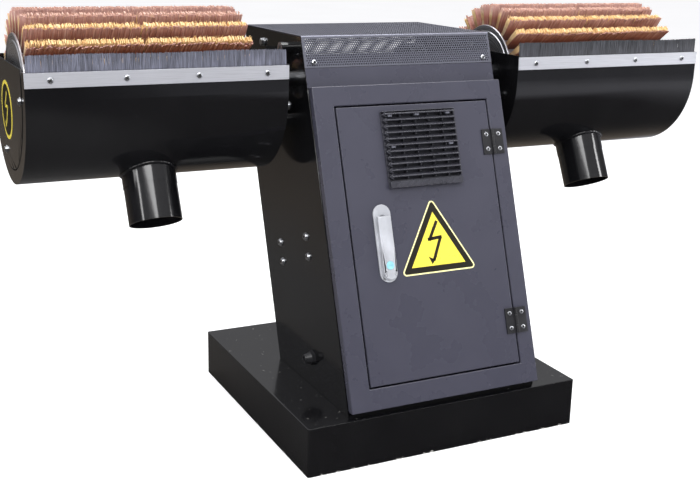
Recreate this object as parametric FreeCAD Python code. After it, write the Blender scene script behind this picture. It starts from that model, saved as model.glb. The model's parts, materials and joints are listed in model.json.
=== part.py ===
import FreeCAD, Part
import math
import os
from FreeCAD import Vector

# Double-ended brush sander on a leaning pedestal, lengths in millimetres.
# Frame: +X along the spindle, +Y towards the back, +Z up. The origin is the centre of the base on the floor.
# "Column" coordinates are (x, depth, rise): depth runs square to the leaning front face, towards the back,
# and rise runs up the lean from the top of the base.

os.makedirs("parts", exist_ok=True)

# ---- Base and column
base_width = 600.0
base_depth = 565.0
base_height = 98.0
base_sheet = 3.0
base_lip = 45.0
anchor_hole_radius = 6.0
anchor_inset = 26.0

lean_degrees = 19.1
column_width = 420.0
column_depth = 334.0
column_top = 786.0
column_setback = 16.0
rear_knee_height = 668.0
rear_panel_rise = 36.0
skin = 1.5
side_sheet = 3.0
floor_sheet = 4.0
floor_bolt_radius = 5.0
cover_band = 62.0
strip_tongue = 24.0

# ---- Spindle, its bearings and the drive
spindle_radius = 15.0
spindle_depth = 146.0
spindle_rise = 676.0
running_clearance = 0.05
wall_hole_radius = 32.0
bearing_centre_height = 42.0
bearing_offset = 170.0
bearing_width = 38.0
bearing_base_length = 124.0
bearing_base_thickness = 12.0
bearing_outer_radius = 38.0
beam_sheet = 8.0
beam_flange = 34.0
motor_plate_sheet = 6.0
motor_plate_flange = 60.0
motor_plate_rise = 366.0
motor_plate_front = 86.0
motor_plate_back = 239.0
motor_bolt_inset = 8.5
motor_bolt_rise = 332.0
motor_bolt_pitch = 40.0
motor_axis_height = 86.0
motor_depth = 163.0
motor_radius = 78.0
motor_length = 215.0
motor_left = -150.0
motor_shaft_radius = 12.0
pulley_centre = 100.0
belt_width = 9.2
belt_height = 8.0
belt_pitch = 15.0
belt_gap = 0.4
motor_pulley_radius = 40.0
spindle_pulley_radius = 60.0

# ---- Dust hoods
hood_clearance = 24.0
hood_sheet = 2.0
hood_standoff = 46.0
hood_length = 479.0
hood_wall_rise = 49.0
hood_end_rise = 52.0
hood_spindle_hole = 40.0
cover_margin = 28.0
cover_gap = 2.5
cover_tab = 14.0
cover_bolt_inset = 18.0
cover_bolt_angles = (182.0, 292.0, 0.0)
port_outer_radius = 50.0
port_sheet = 2.0
port_from_hood_end = 244.0
port_lean_degrees = 25.5
port_stop = 70.0
port_stop_step = 0.8
port_length = 97.0
standoff_radius = 12.0
standoff_pitch = 139.0
upper_boss_length = 22.0
seal_strip_height = 26.0
seal_strip_sheet = 2.0
seal_strip_top = 49.0
seal_strip_screws = 4
bristle_thickness = 3.5
bristle_top = 79.0
bristle_root = 12.0

# ---- Brush drums
drum_from_hood_end = 29.0
drum_length = 418.0
left_drum_offset = 15.0
drum_tip_radius = 148.0
drum_core_radius = 92.0
drum_rim = 24.0
drum_web = 12.0
disc_overhang = 10.0
disc_sheet = 4.0
row_count = 24
slot_depth = 14.0
tampico_root = 8.0
tampico_tip = 12.0
abrasive_sheet = 2.4
abrasive_short = 3.0
row_side_gap = 0.4
segment_gap = 3.5
left_drum_phase = 5.0
right_drum_phase = 3.5

# ---- Electrical box and its door
box_front = -19.0
box_back = 76.0
box_bottom_gap = 12.5
box_top_rise = 626.0
box_sheet = 2.0
box_lip_depth = 15.5
box_flange = 18.0
door_left = -168.0
door_right = 174.0
door_bottom = 48.0
door_top = 587.0
door_gap = 3.0
door_sheet = 2.0
door_return = 17.0
hinge_height = 51.0
hinge_leaf = 24.0
hinge_sheet = 3.0
hinge_barrel_radius = 3.4
hinge_pin_radius = 1.6
hinge_rises = (135.0, 499.0)
hinge_middle = 20.0
hinge_screw_radius = 4.5
hinge_screw_pitch = 30.0
vent_left = -74.0
vent_width = 162.0
vent_bottom = 421.0
vent_height = 150.0
vent_plate = 3.0
vent_proud = 13.0
vent_rows = 11
vent_bottom_bar = 16.0
handle_x = -98.5
handle_bottom = 243.0
handle_length = 150.0
handle_width = 37.0
handle_plate = 5.0
handle_pivot_rise = 366.0
lever_width = 28.0
lever_thickness = 7.6
lever_lift = 0.6
lever_bottom = 248.0
rotor_block_width = 8.0
rotor_eye_radius = 2.6
rotor_neck_height = 3.8
lever_pin_radius = 1.6
lever_pocket_play = 0.4
rotor_radius = 6.0
cam_length = 52.0
cam_sheet = 4.0
button_rise = 275.0
button_radius = 8.0
button_travel = 2.0
label_side = 171.0
label_x = 14.4
label_bottom = 250.0
label_sheet = 0.4
hood_label_radius = 54.0
hood_label_drop = 38.0
hood_label_back = 15.0
gland_depth = 135.0
gland_rise = 113.0

# ---- Derived positions and sizes
lean = math.radians(lean_degrees)
hood_radius = drum_tip_radius + hood_clearance
hood_inner = column_width / 2 + hood_standoff
hood_outer = hood_inner + hood_length
cover_radius = hood_radius - cover_margin
cover_bolt_circle = cover_radius - cover_bolt_inset
drum_inner = hood_inner + drum_from_hood_end
drum_outer = drum_inner + drum_length
disc_radius = drum_core_radius + disc_overhang
port_centre = hood_inner + port_from_hood_end
port_lean = math.radians(port_lean_degrees)
port_direction = Vector(0, -math.sin(port_lean), -math.cos(port_lean))
port_mouth = hood_radius + port_length
front_foot = -base_depth / 2 + column_setback
half_column = column_width / 2
inner_half = half_column - side_sheet
column_frame = FreeCAD.Placement(Vector(0, front_foot, base_height),
                                 FreeCAD.Rotation(Vector(1, 0, 0), -lean_degrees))
spindle = column_frame.multVec(Vector(0, spindle_depth, spindle_rise))
motor_rise = motor_plate_rise + motor_axis_height
motor_axis = column_frame.multVec(Vector(0, motor_depth, motor_rise))
hinge_x = door_right + door_gap / 4
hinge_depth = box_front - hinge_sheet - 0.8
lever_pivot_depth = box_front - handle_plate - lever_lift - lever_thickness / 2
wall_back = front_foot + column_depth + (rear_knee_height - base_height) * math.tan(lean)


def box_between(x0, x1, y0, y1, z0, z1):
    return Part.makeBox(x1 - x0, y1 - y0, z1 - z0, Vector(x0, y0, z0))


def place_in_column(shape):
    return shape.transformed(column_frame.toMatrix(), True)


def rod(start, direction, radius, length):
    return Part.makeCylinder(radius, length, start, direction)


def join(shapes):
    solid = shapes[0].multiFuse(shapes[1:]) if len(shapes) > 1 else shapes[0]
    return solid.removeSplitter()


def gather(shapes):
    return Part.makeCompound(shapes)


def mirrored_to_left(shape):
    return shape.mirror(Vector(0, 0, 0), Vector(1, 0, 0))


def profile_along_x(points, x0, x1):
    # Closed (y, z) outline drawn at x0 and pushed to x1.
    corners = [Vector(x0, y, z) for y, z in points]
    wire = Part.makePolygon(corners + corners[:1])
    return Part.Face(wire).extrude(Vector(x1 - x0, 0, 0))


def plate_outline(points, depth0, depth1):
    # Closed (x, rise) outline pushed from one depth to another, in column coordinates.
    corners = [Vector(x, depth0, rise) for x, rise in points]
    wire = Part.makePolygon(corners + corners[:1])
    return Part.Face(wire).extrude(Vector(0, depth1 - depth0, 0))


def inset_path(points, distance):
    # Offsets an open (y, z) path to its right-hand side with mitred corners.
    normals = []
    for (y0, z0), (y1, z1) in zip(points, points[1:]):
        length = math.hypot(y1 - y0, z1 - z0)
        normals.append(((z1 - z0) / length, -(y1 - y0) / length))
    moved = []
    for index, (y, z) in enumerate(points):
        before = normals[max(index - 1, 0)]
        after = normals[min(index, len(normals) - 1)]
        scale = distance / (1 + before[0] * after[0] + before[1] * after[1])
        moved.append((y + (before[0] + after[0]) * scale, z + (before[1] + after[1]) * scale))
    return moved


def bent_sheet(points, thickness, x0, x1):
    return profile_along_x(points + inset_path(points, thickness)[::-1], x0, x1)


def slot_outline(x, low, high, radius, depth0, depth1):
    # Bar with round ends standing along the rise, in column coordinates.
    bar = box_between(x - radius, x + radius, depth0, depth1, low + radius, high - radius)
    ends = [rod(Vector(x, depth0, rise), Vector(0, 1, 0), radius, depth1 - depth0)
            for rise in (low + radius, high - radius)]
    return join([bar] + ends)


def front_line(height):
    # Y of the leaning front face at a height above the floor.
    return front_foot + (height - base_height) * math.tan(lean)


def column_point(depth, rise):
    point = column_frame.multVec(Vector(0, depth, rise))
    return (point.y, point.z)


def export(shape, node):
    shape.exportStep("parts/" + node + ".step")


# ---- Base plinth: a folded tray with a lip all round its foot, and a ballast plate inside
def make_base():
    half_x = base_width / 2
    half_y = base_depth / 2
    tray = box_between(-half_x, half_x, -half_y, half_y, 0, base_height)
    inside = box_between(-half_x + base_sheet, half_x - base_sheet, -half_y + base_sheet, half_y - base_sheet,
                         base_sheet, base_height - base_sheet)
    mouth = box_between(-half_x + base_lip, half_x - base_lip, -half_y + base_lip, half_y - base_lip,
                        0, base_sheet)
    holes = [rod(Vector(sx * (half_x - anchor_inset), sy * (half_y - anchor_inset), 0), Vector(0, 0, 1),
                 anchor_hole_radius, base_sheet) for sx in (-1, 1) for sy in (-1, 1)]
    bolts = [rod(Vector(x, y, base_height - base_sheet), Vector(0, 0, 1), floor_bolt_radius, base_sheet)
             for x, y in floor_bolt_places()]
    return tray.cut(inside).cut(mouth).cut(gather(holes + bolts))


def make_ballast():
    margin = base_lip + 8
    plate = box_between(-base_width / 2 + margin, base_width / 2 - margin,
                        -base_depth / 2 + margin, base_depth / 2 - margin,
                        base_height - base_sheet - 12, base_height - base_sheet)
    holes = [rod(Vector(x, y, base_height - base_sheet - 12), Vector(0, 0, 1), floor_bolt_radius, 12)
             for x, y in floor_bolt_places()]
    return plate.cut(gather(holes))


def floor_bolt_places():
    front = front_foot + column_depth * 0.42
    back = front_foot + column_depth - 45
    return [(sx * (half_column - 60), y) for sx in (-1, 1) for y in (front, back)]


def make_column_bolts():
    bolts = []
    for x, y in floor_bolt_places():
        shank = rod(Vector(x, y, base_height - base_sheet - 12), Vector(0, 0, 1), floor_bolt_radius,
                    base_sheet + 12 + floor_sheet)
        head = hex_prism(Vector(x, y, base_height + floor_sheet), Vector(0, 0, 1), 8.5, 6.5)
        bolts.append(shank.fuse(head).removeSplitter())
    return gather(bolts)


def hex_prism(base, direction, half_across_flats, height):
    # Hexagon standing on base and pointing along direction.
    corner = half_across_flats / math.cos(math.pi / 6)
    ring = [Vector(corner * math.cos(k * math.pi / 3), corner * math.sin(k * math.pi / 3), 0) for k in range(7)]
    prism = Part.Face(Part.makePolygon(ring)).extrude(Vector(0, 0, height))
    prism.Placement = FreeCAD.Placement(base, FreeCAD.Rotation(Vector(0, 0, 1), direction))
    return prism


# ---- Column: two side panels with skins bent over their edges
def side_outline():
    outer = [(front_foot, base_height), (front_line(column_top), column_top), (wall_back, column_top),
             (wall_back, rear_knee_height), (front_foot + column_depth, base_height)]
    inner = inset_path(outer, skin)
    level_skin = skin / math.cos(lean)
    first = (front_foot + level_skin, base_height)
    last = (front_foot + column_depth - level_skin, base_height)
    return [first] + inner[1:-1] + [last]


def wall_bolt_places():
    # Bolts through each side panel as (depth, rise): four for the motor plate, then two for the bearing beam.
    motor_depths = (motor_plate_front + motor_bolt_inset, motor_plate_back - motor_bolt_inset)
    motor_rises = (motor_bolt_rise + motor_bolt_pitch / 2, motor_bolt_rise - motor_bolt_pitch / 2)
    beam_low = beam_top() - beam_flange / 2 - 3
    beam_depths = (spindle_depth - 46, spindle_depth + 46)
    return [(d, r) for d in motor_depths for r in motor_rises] + [(d, beam_low) for d in beam_depths]


def boss_places(upper):
    half = standoff_pitch / 2
    rise = half if upper else -half
    return [(spindle.y + sy * half, spindle.z + rise) for sy in (-1, 1)]


def make_side_panel(side):
    x0 = inner_half if side > 0 else -half_column
    panel = profile_along_x(side_outline(), x0, x0 + side_sheet)
    start = Vector(x0, spindle.y, spindle.z)
    cuts = [rod(start, Vector(1, 0, 0), wall_hole_radius, side_sheet)]
    for depth, rise in wall_bolt_places():
        cuts.append(place_in_column(rod(Vector(x0, depth, rise), Vector(1, 0, 0), 4.2, side_sheet)))
    for y, z in boss_places(True) + boss_places(False):
        cuts.append(rod(Vector(x0, y, z), Vector(1, 0, 0), 4.2, side_sheet))
    if side < 0:
        cuts.append(place_in_column(rod(Vector(x0, gland_depth, gland_rise), Vector(1, 0, 0), 10, side_sheet)))
    return panel.cut(gather(cuts))


def make_back_panel():
    path = [(front_foot + column_depth, base_height), (wall_back, rear_knee_height),
            (wall_back, rear_knee_height + rear_panel_rise)]
    inner = inset_path(path, -skin)
    inner[0] = (front_foot + column_depth - skin / math.cos(lean), base_height)
    return profile_along_x(path + inner[::-1], -half_column, half_column)


def make_front_strip():
    band_low = cover_front_rise() - cover_band
    face = box_between(-half_column, half_column, 0, skin, box_top_rise + 1, band_low - 0.5)
    tongue = box_between(-inner_half + 0.4, inner_half - 0.4, skin, 2 * skin, box_top_rise + 1,
                         band_low + strip_tongue)
    return place_in_column(join([face, tongue]))


def cover_front_rise():
    # Rise of the bend where the cover turns from the front band onto the flat top.
    return (column_top - base_height) / math.cos(lean)


def make_top_cover():
    bend = cover_front_rise()
    path = [column_point(0, bend - cover_band), column_point(0, bend), (wall_back, column_top),
            (wall_back, rear_knee_height + rear_panel_rise + 0.5)]
    return bent_sheet(path, skin, -half_column, half_column)


def make_column_floor():
    front = front_foot + skin + 1
    back = front_foot + column_depth - skin - 1
    plate = box_between(-inner_half, inner_half, front, back, base_height, base_height + floor_sheet)
    flanges = [box_between(x0, x0 + 3, front + 150, back, base_height + floor_sheet, base_height + 38)
               for x0 in (-inner_half, inner_half - 3)]
    holes = [rod(Vector(x, y, base_height), Vector(0, 0, 1), floor_bolt_radius, floor_sheet)
             for x, y in floor_bolt_places()]
    return join([plate] + flanges).cut(gather(holes))


def make_cover_screws():
    low = cover_front_rise() - cover_band
    screws = []
    for x in (-half_column + 20, half_column - 20):
        head = Part.makeSphere(6, Vector(x, 2.5, low + 10)).common(
            box_between(x - 7, x + 7, -4, 0, low, low + 20))
        shank = rod(Vector(x, 0, low + 10), Vector(0, 1, 0), 2.5, 9)
        screws.append(place_in_column(head.fuse(shank).removeSplitter()))
        rear = Vector(x, wall_back, column_top - 40)
        head = Part.makeSphere(6, rear - Vector(0, 2.5, 0)).common(
            box_between(x - 7, x + 7, wall_back, wall_back + 4, column_top - 50, column_top - 30))
        shank = rod(rear, Vector(0, -1, 0), 2.5, 9)
        screws.append(head.fuse(shank).removeSplitter())
    return gather(screws)


def screw_clearance_cuts():
    # Holes for the cover screws, in the same places as the screws.
    low = cover_front_rise() - cover_band
    cuts = []
    for x in (-half_column + 20, half_column - 20):
        cuts.append(place_in_column(rod(Vector(x, -1, low + 10), Vector(0, 1, 0), 2.5, 12)))
        cuts.append(rod(Vector(x, wall_back + 1, column_top - 40), Vector(0, -1, 0), 2.5, 12))
    return gather(cuts)


def make_wall_bolts():
    # Button heads outside the panel with their shanks and nuts inside it.
    bolts = []
    for side in (-1, 1):
        for index, (depth, rise) in enumerate(wall_bolt_places()):
            grip = side_sheet + (motor_plate_sheet if index < 4 else beam_sheet)
            out = Vector(side, 0, 0)
            face = Vector(side * half_column, depth, rise)
            washer = rod(face, out, 8.5, 1.5)
            head = rod(face + out * 1.5, out, 6.8, 4.5)
            dimple = hex_prism(face + out * 3, out, 2.5, 4)
            shank = rod(face, -out, 4.2, grip + 9)
            nut = hex_prism(face - out * grip, -out, 6.5, 6)
            bolt = join([washer, head, shank, nut]).cut(dimple)
            bolts.append(place_in_column(bolt))
    return gather(bolts)


# ---- Bearing beam, pillow blocks, spindle and pulleys
def beam_top():
    return spindle_rise - bearing_centre_height


def make_bearing_beam():
    top = beam_top()
    front = spindle_depth - bearing_base_length / 2 - 6
    back = spindle_depth + bearing_base_length / 2 + 16
    slot_low = spindle_depth - spindle_pulley_radius - 1
    slot_high = spindle_depth + spindle_pulley_radius + belt_height + 2
    plate = box_between(-inner_half, inner_half, front, back, top - beam_sheet, top)
    ends = [box_between(x0, x0 + beam_sheet, front, back, top - beam_flange, top)
            for x0 in (-inner_half, inner_half - beam_sheet)]
    window = box_between(pulley_centre - 32, pulley_centre + 32, slot_low, slot_high, top - beam_sheet, top)
    holes = [rod(Vector(sx * bearing_offset, spindle_depth + sd * 48, top - beam_sheet), Vector(0, 0, 1), 5,
                 beam_sheet) for sx in (-1, 1) for sd in (-1, 1)]
    bolts = [rod(Vector(x0, depth, rise), Vector(1, 0, 0), 4.2, beam_sheet)
             for x0 in (-inner_half, inner_half - beam_sheet) for depth, rise in wall_bolt_places()[4:]]
    return place_in_column(join([plate] + ends).cut(gather([window] + holes + bolts)))


def make_pillow_blocks():
    blocks = []
    for sx in (-1, 1):
        x0 = sx * bearing_offset - bearing_width / 2
        foot = box_between(x0, x0 + bearing_width, spindle_depth - bearing_base_length / 2,
                           spindle_depth + bearing_base_length / 2, beam_top(),
                           beam_top() + bearing_base_thickness)
        centre = Vector(x0, spindle_depth, spindle_rise)
        ring = rod(centre, Vector(1, 0, 0), bearing_outer_radius, bearing_width)
        neck = box_between(x0 + 4, x0 + bearing_width - 4, spindle_depth - 30, spindle_depth + 30, beam_top(),
                           spindle_rise)
        bore = rod(centre, Vector(1, 0, 0), spindle_radius + running_clearance, bearing_width)
        bolt_holes = [rod(Vector(sx * bearing_offset, spindle_depth + sd * 48, beam_top() - beam_sheet),
                          Vector(0, 0, 1), 5, 60) for sd in (-1, 1)]
        block = join([foot, ring, neck]).cut(gather([bore] + bolt_holes))
        blocks.append(place_in_column(block))
    return gather(blocks)


def make_bearing_bolts():
    bolts = []
    for sx in (-1, 1):
        for sd in (-1, 1):
            start = Vector(sx * bearing_offset, spindle_depth + sd * 48, beam_top() - beam_sheet)
            shank = rod(start, Vector(0, 0, 1), 5, beam_sheet + bearing_base_thickness)
            head = hex_prism(start + Vector(0, 0, beam_sheet + bearing_base_thickness), Vector(0, 0, 1), 8, 6.4)
            nut = hex_prism(start, Vector(0, 0, -1), 8, 8)
            bolts.append(place_in_column(join([shank, head, nut])))
    return gather(bolts)


def make_spindle():
    end = drum_outer + disc_sheet
    shaft = rod(Vector(-end - left_drum_offset, spindle.y, spindle.z), Vector(1, 0, 0), spindle_radius,
                2 * end + left_drum_offset)
    collar = rod(Vector(drum_inner - 8, spindle.y, spindle.z), Vector(1, 0, 0), spindle_radius + 6, 6)
    return join([shaft, drum_on_side(collar, 1), drum_on_side(collar, -1)])


def make_spindle_nuts():
    start = Vector(drum_outer + disc_sheet, spindle.y, spindle.z)
    nut = hex_prism(start, Vector(1, 0, 0), 12, 7)
    return gather([drum_on_side(nut, 1), drum_on_side(nut, -1)])


def make_pulley(centre, radius, bore):
    # Two-groove pulley; each groove is deeper and wider than its belt by the belt gap.
    width = 2 * belt_pitch + 6
    rim = radius + belt_height / 2 + 1
    body = rod(Vector(pulley_centre - width / 2, centre.y, centre.z), Vector(1, 0, 0), rim, width)
    floor_radius = radius - belt_height / 2 - belt_gap
    cuts = [rod(Vector(pulley_centre - width / 2, centre.y, centre.z), Vector(1, 0, 0), bore, width)]
    for sx in (-1, 1):
        x0 = pulley_centre + sx * belt_pitch / 2 - belt_width / 2 - belt_gap
        start = Vector(x0, centre.y, centre.z)
        wide = belt_width + 2 * belt_gap
        ring = rod(start, Vector(1, 0, 0), rim + 1, wide).cut(rod(start, Vector(1, 0, 0), floor_radius, wide))
        cuts.append(ring)
    return body.cut(gather(cuts))


def belt_face(x, growth):
    # Face inside one belt loop round both pulleys, at pitch radius plus growth.
    radii = (spindle_pulley_radius + growth, motor_pulley_radius + growth)
    centres = (spindle, motor_axis)
    along = math.atan2(motor_axis.z - spindle.z, motor_axis.y - spindle.y)
    spread = math.acos((radii[0] - radii[1]) / centres[0].distanceToPoint(Vector(0, motor_axis.y, motor_axis.z)))

    def touch(index, angle):
        centre = centres[index]
        return Vector(x, centre.y + radii[index] * math.cos(angle), centre.z + radii[index] * math.sin(angle))

    first, second = touch(0, along + spread), touch(1, along + spread)
    third, fourth = touch(1, along - spread), touch(0, along - spread)
    edges = [Part.makeLine(first, second), Part.Arc(second, touch(1, along), third).toShape(),
             Part.makeLine(third, fourth), Part.Arc(fourth, touch(0, along + math.pi), first).toShape()]
    return Part.Face(Part.Wire(edges))


def make_belts():
    belts = []
    for sx in (-1, 1):
        x = pulley_centre + sx * belt_pitch / 2 - belt_width / 2
        ring = belt_face(x, belt_height / 2).cut(belt_face(x, -belt_height / 2))
        belts.append(ring.extrude(Vector(belt_width, 0, 0)).Solids[0])
    return gather(belts)


# ---- Motor on its cross plate
def make_motor_plate():
    top = motor_plate_rise
    plate = box_between(-inner_half, inner_half, motor_plate_front, motor_plate_back, top - motor_plate_sheet, top)
    ends = [box_between(x0, x0 + motor_plate_sheet, motor_plate_front, motor_plate_back,
                        top - motor_plate_flange, top)
            for x0 in (-inner_half, inner_half - motor_plate_sheet)]
    holes = [rod(Vector(x0, depth, rise), Vector(1, 0, 0), 4.2, motor_plate_sheet)
             for x0 in (-inner_half, inner_half - motor_plate_sheet) for depth, rise in wall_bolt_places()[:4]]
    return place_in_column(join([plate] + ends).cut(gather(holes)))


def make_motor_body():
    centre = Vector(motor_left, motor_depth, motor_rise)
    core = rod(centre, Vector(1, 0, 0), motor_radius - 8, motor_length)
    fins = []
    fin_count = 28
    for k in range(fin_count):
        fin = box_between(motor_left + 25, motor_left + motor_length - 25, motor_depth - 1.2, motor_depth + 1.2,
                          motor_rise + motor_radius - 12, motor_rise + motor_radius - 1)
        fin.rotate(centre, Vector(1, 0, 0), k * 360.0 / fin_count)
        fins.append(fin)
    bells = [rod(Vector(x0, motor_depth, motor_rise), Vector(1, 0, 0), motor_radius - 1, 20)
             for x0 in (motor_left, motor_left + motor_length - 20)]
    feet = [box_between(x0, x0 + 26, motor_depth - 66, motor_depth + 66, motor_plate_rise, motor_plate_rise + 10)
            for x0 in (motor_left + 34, motor_left + motor_length - 60)]
    legs = [box_between(x0 + 3, x0 + 23, motor_depth + s * 40 - 9, motor_depth + s * 40 + 9,
                        motor_plate_rise, motor_rise - 38)
            for x0 in (motor_left + 34, motor_left + motor_length - 60) for s in (-1, 1)]
    bore = rod(centre, Vector(1, 0, 0), motor_shaft_radius + running_clearance, motor_length)
    return place_in_column(join([core] + fins + bells + feet + legs).cut(bore))


def make_motor_fan_cover():
    start = Vector(motor_left - 38, motor_depth, motor_rise)
    outer = rod(start, Vector(1, 0, 0), motor_radius - 2, 38)
    inner = rod(start + Vector(2, 0, 0), Vector(1, 0, 0), motor_radius - 4, 36)
    slots = [box_between(start.x, start.x + 2, motor_depth - 55 + abs(k) * 6, motor_depth + 55 - abs(k) * 6,
                         motor_rise + k * 14 - 3, motor_rise + k * 14 + 3) for k in range(-4, 5)]
    return place_in_column(outer.cut(inner).cut(gather(slots)))


def make_terminal_box():
    body = box_between(motor_left + 60, motor_left + 160, motor_depth + motor_radius - 12,
                       motor_depth + motor_radius + 32, motor_rise - 45, motor_rise + 45)
    curve = rod(Vector(motor_left, motor_depth, motor_rise), Vector(1, 0, 0), motor_radius + 0.5, motor_length)
    pad = box_between(motor_left + 75, motor_left + 145, motor_depth + motor_radius - 20,
                      motor_depth + motor_radius + 10, motor_rise - 1.2, motor_rise + 1.2)
    return place_in_column(body.cut(curve).cut(pad))


def make_motor_shaft():
    start = motor_left - 24
    length = pulley_centre + belt_pitch + 6 - start
    shaft = rod(Vector(start, motor_axis.y, motor_axis.z), Vector(1, 0, 0), motor_shaft_radius, length)
    hub = rod(Vector(start, motor_axis.y, motor_axis.z), Vector(1, 0, 0), 20, 18)
    blades = []
    for k in range(6):
        blade = box_between(start, start + 16, motor_axis.y - 1.5, motor_axis.y + 1.5,
                            motor_axis.z + 15, motor_axis.z + motor_radius - 14)
        blade.rotate(motor_axis, Vector(1, 0, 0), k * 60)
        blades.append(blade)
    return join([shaft, hub] + blades)


# ---- Electrical box, door, hinges, vent, handle and labels
def box_low(depth):
    # Rise of the level bottom of the box at a given depth.
    return (depth * math.sin(lean) + box_bottom_gap) / math.cos(lean)


def box_profile(x0, x1, front, back, lift, top):
    points = [column_point(front, box_low(front) + lift), column_point(front, top), column_point(back, top),
              column_point(back, box_low(back) + lift)]
    return profile_along_x(points, x0, x1)


def make_electrical_box():
    body = box_profile(-inner_half, inner_half, box_front, box_back, 0, box_top_rise)
    lip = box_profile(-half_column, half_column, box_front, box_front + box_lip_depth, 0, box_top_rise)
    inside = box_profile(-inner_half + box_sheet, inner_half - box_sheet, box_front + box_sheet,
                         box_back - box_sheet, box_sheet / math.cos(lean), box_top_rise - box_sheet)
    around = box_between(door_left - box_sheet, door_right + box_sheet, box_front, box_front + box_flange,
                         door_bottom - box_sheet, door_top + box_sheet)
    doorway = box_between(door_left, door_right, box_front - 1, box_front + box_flange + 1, door_bottom, door_top)
    framed = body.fuse(lip).cut(inside).fuse(place_in_column(around)).cut(place_in_column(doorway))
    return framed.removeSplitter().cut(gather(hinge_screw_set(1)))


def make_door():
    left = door_left + door_gap
    right = door_right - door_gap
    low = door_bottom + door_gap
    high = door_top - door_gap
    slab = box_between(left, right, box_front, box_front + door_return, low, high)
    hollow = box_between(left + door_sheet, right - door_sheet, box_front + door_sheet,
                         box_front + door_return + 1, low + door_sheet, high - door_sheet)
    spindle_hole = rod(Vector(handle_x, box_front, handle_pivot_rise), Vector(0, 1, 0), rotor_radius + 1, door_sheet)
    window = box_between(vent_left + 14, vent_left + vent_width - 14, box_front, box_front + door_sheet,
                         vent_bottom + 24, vent_bottom + vent_height - 14)
    door = place_in_column(slab.cut(hollow).cut(gather([spindle_hole, window])))
    return door.cut(gather(hinge_screw_set(-1)))


def hinge_screw_places(side, rise):
    return [(hinge_x + side * (hinge_barrel_radius + 0.4 + (hinge_leaf - hinge_barrel_radius) / 2), rise + s *
             hinge_screw_pitch / 2) for s in (-1, 1)]


def countersunk(x, rise):
    # Countersunk screw with its head flush with the outside of the hinge leaf.
    face = hinge_depth + 0.8
    cone = Part.makeCone(hinge_screw_radius, 2, 2.6, Vector(x, face, rise), Vector(0, 1, 0))
    shank = rod(Vector(x, face + 2.6, rise), Vector(0, 1, 0), 2, hinge_sheet - 2.6 + door_sheet)
    return cone.fuse(shank).removeSplitter()


def hinge_leaf_shape(side, rise):
    # side is -1 for the door's leaf with the middle knuckle, +1 for the frame's leaf with the end knuckles.
    low = rise - hinge_height / 2
    high = rise + hinge_height / 2
    near = hinge_barrel_radius + 0.4
    edges = sorted((hinge_x + side * near, hinge_x + side * (near + hinge_leaf - hinge_barrel_radius)))
    leaf = box_between(edges[0], edges[1], hinge_depth + 0.8, box_front, low, high)
    middle = (rise - hinge_middle / 2, rise + hinge_middle / 2)
    spans = [middle] if side < 0 else [(low, middle[0] - 0.4), (middle[1] + 0.4, high)]
    pieces = [leaf]
    for bottom, top in spans:
        pieces.append(rod(Vector(hinge_x, hinge_depth, bottom), Vector(0, 0, 1), hinge_barrel_radius, top - bottom))
        bridge = sorted((hinge_x, hinge_x + side * (near + 1)))
        pieces.append(box_between(bridge[0], bridge[1], hinge_depth + 0.8, hinge_depth + hinge_barrel_radius,
                                  bottom, top))
    bore = hinge_pin_radius + (running_clearance if side < 0 else 0)
    cuts = [rod(Vector(hinge_x, hinge_depth, low), Vector(0, 0, 1), bore, hinge_height)]
    cuts += [countersunk(x, r) for x, r in hinge_screw_places(side, rise)]
    return join(pieces).cut(gather(cuts))


def make_hinge_leaves(side):
    return gather([place_in_column(hinge_leaf_shape(side, rise)) for rise in hinge_rises])


def make_hinge_pins():
    return gather([place_in_column(rod(Vector(hinge_x, hinge_depth, rise - hinge_height / 2), Vector(0, 0, 1),
                                       hinge_pin_radius, hinge_height)) for rise in hinge_rises])


def hinge_screw_set(side):
    return [place_in_column(countersunk(x, r)) for rise in hinge_rises for x, r in hinge_screw_places(side, rise)]


def make_vent():
    # Sloping slats over an open plate, with thin dividers between them and a deeper bar along the bottom.
    right = vent_left + vent_width
    top = vent_bottom + vent_height
    plate = box_between(vent_left, right, box_front - vent_plate, box_front, vent_bottom, top)
    opening = box_between(vent_left + 16, right - 16, box_front - vent_plate, box_front, vent_bottom + 26, top - 16)
    pieces = [plate.cut(opening)]
    pitch = (vent_height - vent_bottom_bar) / vent_rows
    for k in range(vent_rows):
        high = top - k * pitch
        profile = [(box_front - vent_plate, high - 3.2), (box_front - vent_plate, high),
                   (box_front - vent_proud, high - 5.0), (box_front - vent_proud, high - 7.4)]
        corners = [Vector(vent_left + 1, depth, rise) for depth, rise in profile]
        slat = Part.Face(Part.makePolygon(corners + corners[:1])).extrude(Vector(vent_width - 2, 0, 0))
        pieces.append(slat)
    pieces.append(box_between(vent_left, right, box_front - vent_proud, box_front - vent_plate, vent_bottom,
                              vent_bottom + vent_bottom_bar - 3))
    for x in (vent_left + 1, vent_left + 29, vent_left + 59, vent_left + 89, vent_left + 119, right - 3):
        pieces.append(box_between(x, x + 2, box_front - vent_proud + 3.5, box_front - vent_plate, vent_bottom + 6,
                                  top - 4))
    return place_in_column(join(pieces))


def make_handle_plate():
    plate = slot_outline(handle_x, handle_bottom, handle_bottom + handle_length, handle_width / 2,
                         box_front - handle_plate, box_front)
    hole = rod(Vector(handle_x, box_front - handle_plate, handle_pivot_rise), Vector(0, 1, 0),
               rotor_radius + running_clearance, handle_plate)
    return place_in_column(plate.cut(hole))


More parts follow.
